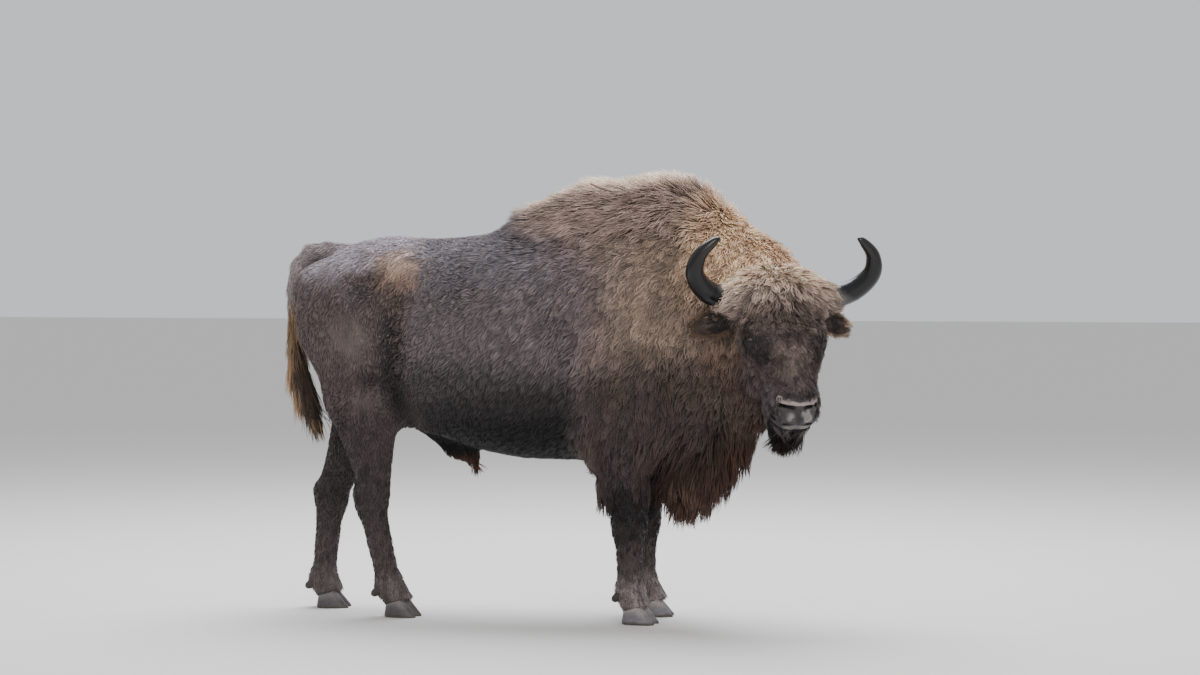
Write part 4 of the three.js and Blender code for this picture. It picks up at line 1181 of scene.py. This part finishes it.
# Colour of the very tips and how strongly it shows: grizzled back, bleached hump with a painted highlight
# where it faces up, rusty jaw
def tipsOf(roots):
    place, normal = roots["place"], roots["normal"]
    x, _, z = place.T
    part = dict(zip(kindNames, roots["kinds"].T))
    high = ramp(x, 10, 140) * ramp(z + 40 * mottle(place, 60, 34), 1430, 1580)
    high = high * (part["crest"] + part["fore"])
    # Painted highlight: the hump's tips nearly white and strongest where they face up
    top = high * ramp(normal[:, 2], 0.78, 1)
    golden = part["tuft"] * ramp(-normal[:, 0], 0.3, 0.7)
    worn = part["chaps"] * ramp(-x, -480, -400)
    colour = tinted(plain("#b9aaa0", len(x)), ("#a08a76", part["fore"]), ("#bca492", high), ("#ffecd6", top),
                    ("#d3bba6", part["mat"]), ("#93837a", part["face"]),
                    ("#4c3325", part["mane"] + part["cheek"]),
                    ("#3a241b", part["beard"]), ("#c29a68", golden), ("#8d7361", worn))
    speckle = 0.5 + 0.5 * mottle(place, 13, 33)
    share = 0.7 * speckle * (part["body"] + 0.6 * part["thigh"]) * ramp(z, 780, 1150)
    share = share + part["fore"] * (0.3 + 0.3 * mottle(place, 16, 31)) * ramp(z, 760, 1050)
    share = mixed(share, 0.2 + 0.65 * top, high)
    share = share + 0.5 * part["mat"] * ramp(-toHead(place)[:, 0], -70, 20)
    share = share + 0.4 * part["face"] * ramp(mottle(place, 20, 76), -0.1, 0.5)
    share = share + 0.45 * (part["mane"] + 0.6 * part["cheek"]) + 0.3 * part["beard"]
    share = share + 0.35 * golden + 0.5 * worn
    share = share * (0.6 + 0.8 * dice.random(len(x))) * (1 - underHorn(place))
    return colour, np.clip(share, 0, 1)


# A chart of the skin's own shape: round and along each part, each part in its own rectangle
def chartOf(points, shares):
    strongest = shares.argmax(axis=1)
    x, y, z = points.T
    hx, hy, hz = toHead(points).T

    def roundFrom(side, front):
        return (np.arctan2(side, front) + math.pi) / (2 * math.pi)

    u = 0.01 + 0.97 * np.clip((x + 950) / 2200, 0, 1)
    v = 0.52 + 0.46 * roundFrom(y, z - 1080)
    for i, key in enumerate(partNames):
        if key == "head":
            partU, partV = 0.01 + 0.42 * np.clip((hx + 170) / 780, 0, 1), 0.01 + 0.48 * roundFrom(hy, hz + 60)
        elif key in legs:
            hub = legs[key].get("hock", legs[key].get("wrist"))
            partU = 0.45 + 0.11 * list(legs).index(key) + 0.1 * roundFrom(y - hub[1], x - hub[0])
            partV = 0.01 + 0.48 * np.clip(z / 1300, 0, 1)
        elif key == "tail" or key in ears:
            row = ["tail", *ears].index(key)
            partU = 0.9 + 0.085 * np.clip((hx if row else y + 60) / 150, 0, 1)
            partV = 0.01 + 0.15 * row + 0.14 * np.clip((z - 800) / 750, 0, 1)
        else:
            continue
        u, v = np.where(strongest == i, partU, u), np.where(strongest == i, partV, v)
    return np.stack([u, v], axis=1)


# Locks with three sides, drawn out to a point; each has its own patch in the bake map
def lockMesh(name, line, width, twist, locks):
    count, rings = line.shape[:2]
    segments = rings - 1
    heading = unit(np.gradient(line, axis=1))
    wide = unit(np.cross(heading, locks["normal"][:, None, :]))
    high = np.cross(wide, heading)
    turn = twist[:, None, None]
    wide, high = wide * np.cos(turn) + high * np.sin(turn), high * np.cos(turn) - wide * np.sin(turn)
    t = np.linspace(0, 1, rings)
    profile = (width[:, None] * (0.8 + 1.1 * t) * (1 - t) ** 0.75)[:, :, None]
    sides = [line + wide * profile / 2, line - wide * profile / 2, line + high * profile * coat["thick"]]
    around = np.stack(sides, axis=2)[:, :-1].reshape(count, segments * 3, 3)
    points = np.concatenate([around, line[:, -1:]], axis=1)
    tip = segments * 3
    quads = [[3 * r + s, 3 * r + (s + 1) % 3, 3 * r + 3 + (s + 1) % 3, 3 * r + 3 + s]
             for r in range(segments - 1) for s in range(3)]
    pattern = [[2, 1, 0]] + quads + [[tip - 3 + s, tip - 3 + (s + 1) % 3, tip] for s in range(3)]
    loops = (np.arange(count)[:, None] * (tip + 1) + np.concatenate(pattern)[None]).ravel()
    sizes = np.tile([len(loop) for loop in pattern], count)
    mesh = bpy.data.meshes.new(name)
    mesh.vertices.add(count * (tip + 1))
    mesh.vertices.foreach_set("co", toScene(points.reshape(-1, 3)).astype(np.float32).ravel())
    mesh.loops.add(len(loops))
    mesh.loops.foreach_set("vertex_index", loops.astype(np.int32))
    mesh.polygons.add(len(sizes))
    mesh.polygons.foreach_set("loop_start", (np.cumsum(sizes) - sizes).astype(np.int32))
    mesh.polygons.foreach_set("loop_total", sizes.astype(np.int32))
    mesh.update(calc_edges=True)
    mesh.shade_smooth()
    # Each lock's sides lie side by side in its patch, and its root cap has a strip of its own
    third, base = coat["patch"] / 3, coat["base"]
    rise = (coat["patch"] - base) / segments
    spots = [[0, 0], [third, 0], [0.5 * third, base]]
    for face in quads:
        r, s = divmod(face[0], 3)
        low, top = base + rise * r, base + rise * (r + 1)
        spots += [[third * s, low], [third * (s + 1), low], [third * (s + 1), top], [third * s, top]]
    low = base + rise * (segments - 1)
    for s in range(3):
        spots += [[third * s, low], [third * (s + 1), low], [third * (s + 0.5), low + rise]]
    places = locks["chart"][:, None, :] - coat["patch"] / 2 + np.array(spots)[None]
    mesh.uv_layers.new(name="OFBake").data.foreach_set("uv", places.astype(np.float32).ravel())
    # Dark at the root, painted shade of the coat's depth, the colour of the marking along the lock, and the
    # colour of its tip at the end
    along = np.append(np.repeat(t[:-1], 3), 1.0)[None, :, None]
    grown = locks["base"][:, None, :] * (0.42 + 0.78 * along ** 0.8)
    tipShare = locks["tipShare"][:, None, None] * along ** 2
    setMarking(mesh, np.clip(mixed(grown, locks["tip"][:, None, :], tipShare), 0, 1).reshape(-1, 3))
    return mesh


def growCoat():
    triangles = trianglesOf(skinMesh)
    roots = rootsOn(triangles, 1.0)
    leaders = rootsOn(triangles, coat["leaders"])
    tree = KDTree(len(leaders["place"]))
    for i, place in enumerate(leaders["place"]):
        tree.insert(place, i)
    tree.balance()
    nearest = np.array([tree.find(place)[1:] for place in roots["place"]])
    leaderOf, reach = nearest[:, 0].astype(int), nearest[:, 1]
    chance = ["length", "phase", "tone", "lean", "lift"]
    leading = {key: dice.random(len(leaders["place"])) for key in chance}
    own = {key: dice.random(len(roots["place"])) for key in chance + ["width", "twist"]}

    def leaned(lie, normal, lean):
        return lie + np.cross(normal, lie) * lean[:, None]

    leaders["lie"] = unit(leaned(leaders["lie"], leaders["normal"], 0.5 * (leading["lean"] - 0.5)))
    shared = 0.65 * roots["lie"] + 0.35 * leaders["lie"][leaderOf]
    own["lie"] = np.cross(roots["normal"], roots["lie"]) * (0.36 * (own["lean"] - 0.5))[:, None]
    roots["lie"] = alongSkin(unit(shared + own["lie"]), roots["normal"])
    contrast = 0.85 - 0.38 * ramp(-roots["place"][:, 0], -250, 150) + 0.45 * shareOf(roots["shares"], "head")
    tone = 1.08 + 0.36 * (own["tone"] - 0.5) + contrast * (leading["tone"][leaderOf] - 0.5)
    roots["base"] = markings(roots["place"], roots["normal"], roots["shares"]) * tone[:, None]
    roots["chart"] = chartOf(roots["place"], roots["shares"])
    roots["tip"], roots["tipShare"] = tipsOf(roots)
    strongest = roots["kinds"].argmax(axis=1)
    length = lengthOf(roots) * (0.75 + 0.5 * own["length"])
    leaderLength = lengthOf(leaders) * (0.8 + 0.35 * leading["length"])
    widened = 1.0
    width = blended(roots["kinds"], "width") * (0.75 + 0.5 * own["width"]) * widened
    gather = blended(roots["kinds"], "gather") * np.exp(-(reach / coat["reach"]) ** 2)
    total = 0
    for name, (members, segments, slot) in coatPieces.items():
        chosen = np.flatnonzero(np.isin(strongest, [kindNames.index(key) for key in members]))
        led = leaderOf[chosen]
        locks = {key: values[chosen] for key, values in roots.items()}
        lead = {key: values[led] for key, values in leaders.items()}
        lift, leaderLift = 0.8 + 0.4 * own["lift"][chosen], 0.75 + 0.5 * leading["lift"][led]
        line = centreLines(locks, length[chosen], lift, own["phase"][chosen], segments)
        leader = centreLines(lead, leaderLength[led], leaderLift, leading["phase"][led], segments)
        joining = gather[chosen][:, None, None] * np.linspace(0, 1, segments + 1)[:, None] ** 1.3
        line = line + (leader - line) * joining
        perLock = 6 * segments - 2
        pieces = max(1, math.ceil(len(chosen) / (coat["most"] // perLock)))
        ordered = np.argsort(locks["place"][:, 0], kind="stable")
        for i, batch in enumerate(np.array_split(ordered, pieces)):
            pieceName = name if pieces == 1 else name + "_" + str(i + 1)
            twist = 0.9 * (own["twist"][chosen][batch] - 0.5)
            mesh = lockMesh(pieceName, line[batch], width[chosen][batch], twist,
                            {key: values[batch] for key, values in locks.items()})
            pieceOf(pieceName, mesh, coatMaterials[slot])
        total += len(chosen) * perLock
        print(name + ":", len(chosen), "locks")
    print("coat:", len(roots["place"]), "locks,", total, "triangles")


growCoat()


# Horns
def curveThrough(path, count):
    path = np.array(path, float)
    spans = len(path) - 1
    places = []
    for value in np.linspace(0, spans, count):
        i = min(int(value), spans - 1)
        places.append(curved(*(path[min(max(i + n, 0), spans)] for n in (-1, 0, 1, 2)), value - i))
    return np.array(places)


def tubeRings(places, radii, sides):
    heading = unit(np.gradient(places, axis=0))
    out = unit(np.cross(heading[0], [0.3, 0.2, 0.9]))
    turn = np.linspace(0, 2 * math.pi, sides, endpoint=False)[:, None]
    rings = []
    for place, ahead, radius in zip(places, heading, radii):
        out = unit(out - ahead * (out @ ahead))
        rings.append(place + (np.cos(turn) * out + np.sin(turn) * np.cross(ahead, out)) * radius)
    return rings


# The left horn in the head's own frame: its curve, its radii at root and tip, and the rings near its root
horn = {"rings": 60, "sides": 32, "growthRings": 9, "ridge": 0.035, "root": 48, "tip": 3, "point": 1.2,
        "path": [[2, 130, -34], [2, 214, -26], [-2, 296, 20], [-36, 354, 88], [-80, 348, 152],
                 [-114, 302, 198], [-126, 274, 212]]}


def makeHorn(side, material):
    places = curveThrough(horn["path"], horn["rings"]) * [1, side, 1]
    t = np.linspace(0, 1, horn["rings"])
    radii = horn["root"] * (1 - t ** 1.5) ** 0.85 + horn["tip"]
    radii[-1] = horn["point"]
    low = ramp(-t, -0.5, -0.12)
    ridges = 1 - horn["ridge"] * low * (0.5 - 0.5 * np.cos(t * 2 * math.pi * horn["growthRings"] / 0.5))
    rings = tubeRings(fromHead(places), radii * ridges, horn["sides"])
    node = "horn_left" if side > 0 else "horn_right"
    piece = lofted(node + "_keratin", rings, material)
    points = np.concatenate(rings)
    share = np.repeat(t, horn["sides"]) + 0.05 * mottle(points, 40, 41)
    setMarking(piece.data, tinted(plain("#060708", len(points)), ("#75716e", ramp(-share, -0.3, -0.16)),
                                  ("#2c2826", ramp(share, 0.55, 0.8) * 0.4)))
    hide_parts(node)


hornKeratin = hornMaterial("smooth black horn keratin", 0.26)
for side in (1, -1):
    makeHorn(side, hornKeratin)
print("horns made")


# Eyes: a ball with a raised clear front, a dark iris and a level slot of a pupil, as shares of its radius
eyeball = {"rings": 48, "sides": 40, "bulge": 0.05, "pupilWidth": 0.34, "pupilHeight": 0.15}
# Dark and wet, with a clear coat that gives the small sharp highlight
wetEye = markedMaterial("wet dark eye", 1.2, 0.1, {"Roughness": 0.16, "IOR": 1.38, "Coat Weight": 0.7,
                                                   "Coat Roughness": 0.03})


def makeEye(side, material):
    look = unit(eye["look"] * [1, side, 1])
    centre = eye["place"] * [1, side, 1]
    across = unit(np.cross(look, [1.0, 0, 0]))
    downFace = np.cross(across, look)
    slot = np.array([0.62, 0, -0.78])
    level = unit(slot - look * (look @ slot))
    upright = np.cross(look, level)
    turn = np.linspace(0, 2 * math.pi, eyeball["sides"], endpoint=False)[:, None]
    rings = []
    colours = []
    for angle in np.linspace(0.012, math.pi - 0.012, eyeball["rings"]):
        reach = np.full(len(turn), angle)
        bulge = 1 + eyeball["bulge"] * (1 - ramp(angle, 0.35, 0.62))
        ring = math.cos(angle) * look + math.sin(angle) * (np.cos(turn) * across + np.sin(turn) * downFace)
        rings.append(fromHead(centre + eye["radius"] * bulge * ring))
        pupil = (ring @ level / eyeball["pupilWidth"]) ** 2 + (ring @ upright / eyeball["pupilHeight"]) ** 2
        colours.append(tinted(plain("#2e1d14", len(turn)), ("#0a0807", ramp(-pupil, -1.25, -0.9)),
                              ("#120c0a", ramp(reach, 0.52, 0.6)), ("#3b2f2b", ramp(reach, 0.66, 0.9))))
    piece = lofted("eyeball_left" if side > 0 else "eyeball_right", rings, material)
    setMarking(piece.data, np.concatenate(colours))
    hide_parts("eye_left" if side > 0 else "eye_right")


for side in (1, -1):
    makeEye(side, wetEye)
print("eyes made")


# Hooves: two claws with fine growth lines, and two blunt dewclaws behind each pastern
claw = {"length": 138, "width": 57, "height": 78, "cleft": 8, "toeLean": math.tan(math.radians(38)),
        "heelLean": math.tan(math.radians(6)), "sides": 40, "levels": 26, "lines": 9, "line": 0.5}


def fromFoot(leg, x, y, z):
    turn = math.radians(leg["toeOut"]) * math.copysign(1, leg["foot"][1])
    return np.stack([leg["foot"][0] + x * math.cos(turn) - y * math.sin(turn),
                     leg["foot"][1] + x * math.sin(turn) + y * math.cos(turn), z], axis=1)


def clawRings(leg, way):
    turn = np.linspace(0, 2 * math.pi, claw["sides"], endpoint=False)
    rings = []
    for share in np.linspace(0, 1, claw["levels"]) ** 1.3:
        rise = np.full(len(turn), share * coronet["height"])
        for _ in range(4):
            heights = [0, 3, 10, 0.5 * claw["height"], 1.4 * claw["height"]]
            spread = np.interp(rise, heights, [0.9, 0.96, 1, 0.97, 0.9])
            drawnIn = (1 - spread) * claw["width"]
            toe = claw["length"] / 2 - rise * claw["toeLean"] - drawnIn
            heel = -claw["length"] / 2 + rise * claw["heelLean"] + drawnIn
            place = (toe + heel) / 2 + (toe - heel) / 2 * np.sign(np.cos(turn)) * np.abs(np.cos(turn)) ** 0.9
            rise = share * (coronet["height"] + 3 + place * coronet["rise"])
        wave = np.cos(rise * 2 * math.pi * claw["lines"] / coronet["height"])
        line = claw["line"] * wave * ramp(rise, 4, 14)
        rounded = 1 + spread * np.sin(turn) * (1 - 0.2 * np.cos(turn))
        across = claw["cleft"] / 2 + (claw["width"] / 2) * rounded
        across = across + line * np.sin(turn)
        rings.append(fromFoot(leg, place + line * np.cos(turn), way * across, rise))
    return rings


def dewclawRings(leg, way):
    x, y, z = leg["fetlock"]
    t = np.linspace(0, 1, 16)
    root, tip = np.array([x - 16, y + way * 25, z - 2]), np.array([x - 66, y + way * 33, z - 36])
    places = root + t[:, None] * (tip - root)
    radii = (22 - 11 * t * t) * np.sqrt(np.maximum(1 - ramp(t, 0.8, 1.04) ** 2, 0.002))
    return tubeRings(places, radii, 20)


def makeHooves(material):
    for leg in legs.values():
        side = math.copysign(1, leg["foot"][1])
        for where, way in (("inner", -side), ("outer", side)):
            for kind, rings in (("claw", clawRings(leg, way)), ("dewclaw", dewclawRings(leg, way))):
                node = "_".join([leg["node"], kind, where])
                piece = lofted(node + "_hoof", rings, material)
                points = np.concatenate(rings)
                height = points[:, 2] + 6 * mottle(points, 20, 51)
                front = leg["foot"][0] > 0
                grey = ("#68656a" if front else "#4b4648") if kind == "claw" else "#37312e"
                paler = (0.3 + 0.7 * front) * (kind == "claw")
                colour = tinted(plain(grey, len(points)), ("#8d8683", ramp(height, 30, 60) * paler),
                                ("#4a433e", ramp(-height, -16, -4)))
                setMarking(piece.data, colour * (1 + 0.15 * mottle(points * [0.3, 0.3, 3], 12, 52))[:, None])
                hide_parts(node)


makeHooves(hornMaterial("worn grey hoof horn", 0.5))
print("hooves made")


# Floor, light and camera: lamps by place, diameter in metres, watts and colour, all turned to the aim
studio = {"floor": "#dddad6", "sky": "#dfe2e6", "aim": (0, 0, 1),
          "overhead": [(-0.6, 2.4, 6.5), 6.0, 900, "#f4f6ff"],
          "front": [(3.5, -7.5, 4.0), 4.5, 330, "#fff8ef"]}


# Matt and pale, so that it throws soft light up under the belly
def makeFloor():
    corners = np.array([[-40, -40, 0], [40, -40, 0], [40, 60, 0], [-40, 60, 0]], float)
    mesh = meshOf("floor", corners, [[0, 1, 2, 3]])
    floor = bpy.data.objects.new("floor", mesh)
    bpy.context.scene.collection.objects.link(floor)
    material, tree = newMaterial("matt pale studio floor")
    settings = {"Base Color": (*linear(studio["floor"]), 1), "Roughness": 0.9}
    shader = addNode(tree, "ShaderNodeBsdfPrincipled", settings)
    addNode(tree, "ShaderNodeOutputMaterial", {}, {"Surface": shader.outputs["BSDF"]})
    mesh.materials.append(material)


def areaLight(name, place, size, power, hexColour):
    lamp = bpy.data.lights.new(name, "AREA")
    lamp.shape = "DISK"
    lamp.size = size
    lamp.energy = power
    lamp.color = linear(hexColour)
    light = bpy.data.objects.new(name, lamp)
    bpy.context.scene.collection.objects.link(light)
    light.location = place
    light.rotation_euler = (Vector(studio["aim"]) - Vector(place)).to_track_quat("-Z", "Y").to_euler()


def makeStudio():
    makeFloor()
    world = bpy.data.worlds.new("studio")
    bpy.context.scene.world = world
    world.use_nodes = True
    background = world.node_tree.nodes["Background"]
    background.inputs["Color"].default_value = (*linear(studio["sky"]), 1)
    background.inputs["Strength"].default_value = 1.0
    for name in ("overhead", "front"):
        areaLight(name, *studio[name])


camera = {"place": (2.933, -11.502, 1.42), "turn": 13.8, "tilt": 1.4416, "lens": 90, "sensor": 36}


def makeCamera():
    data = bpy.data.cameras.new("camera")
    data.lens = camera["lens"]
    data.sensor_width = camera["sensor"]
    item = bpy.data.objects.new("camera", data)
    bpy.context.scene.collection.objects.link(item)
    item.location = camera["place"]
    item.rotation_euler = (math.radians(90 - camera["tilt"]), 0, math.radians(camera["turn"]))
    bpy.context.scene.camera = item


makeStudio()
makeCamera()
print("floor, light and camera made")
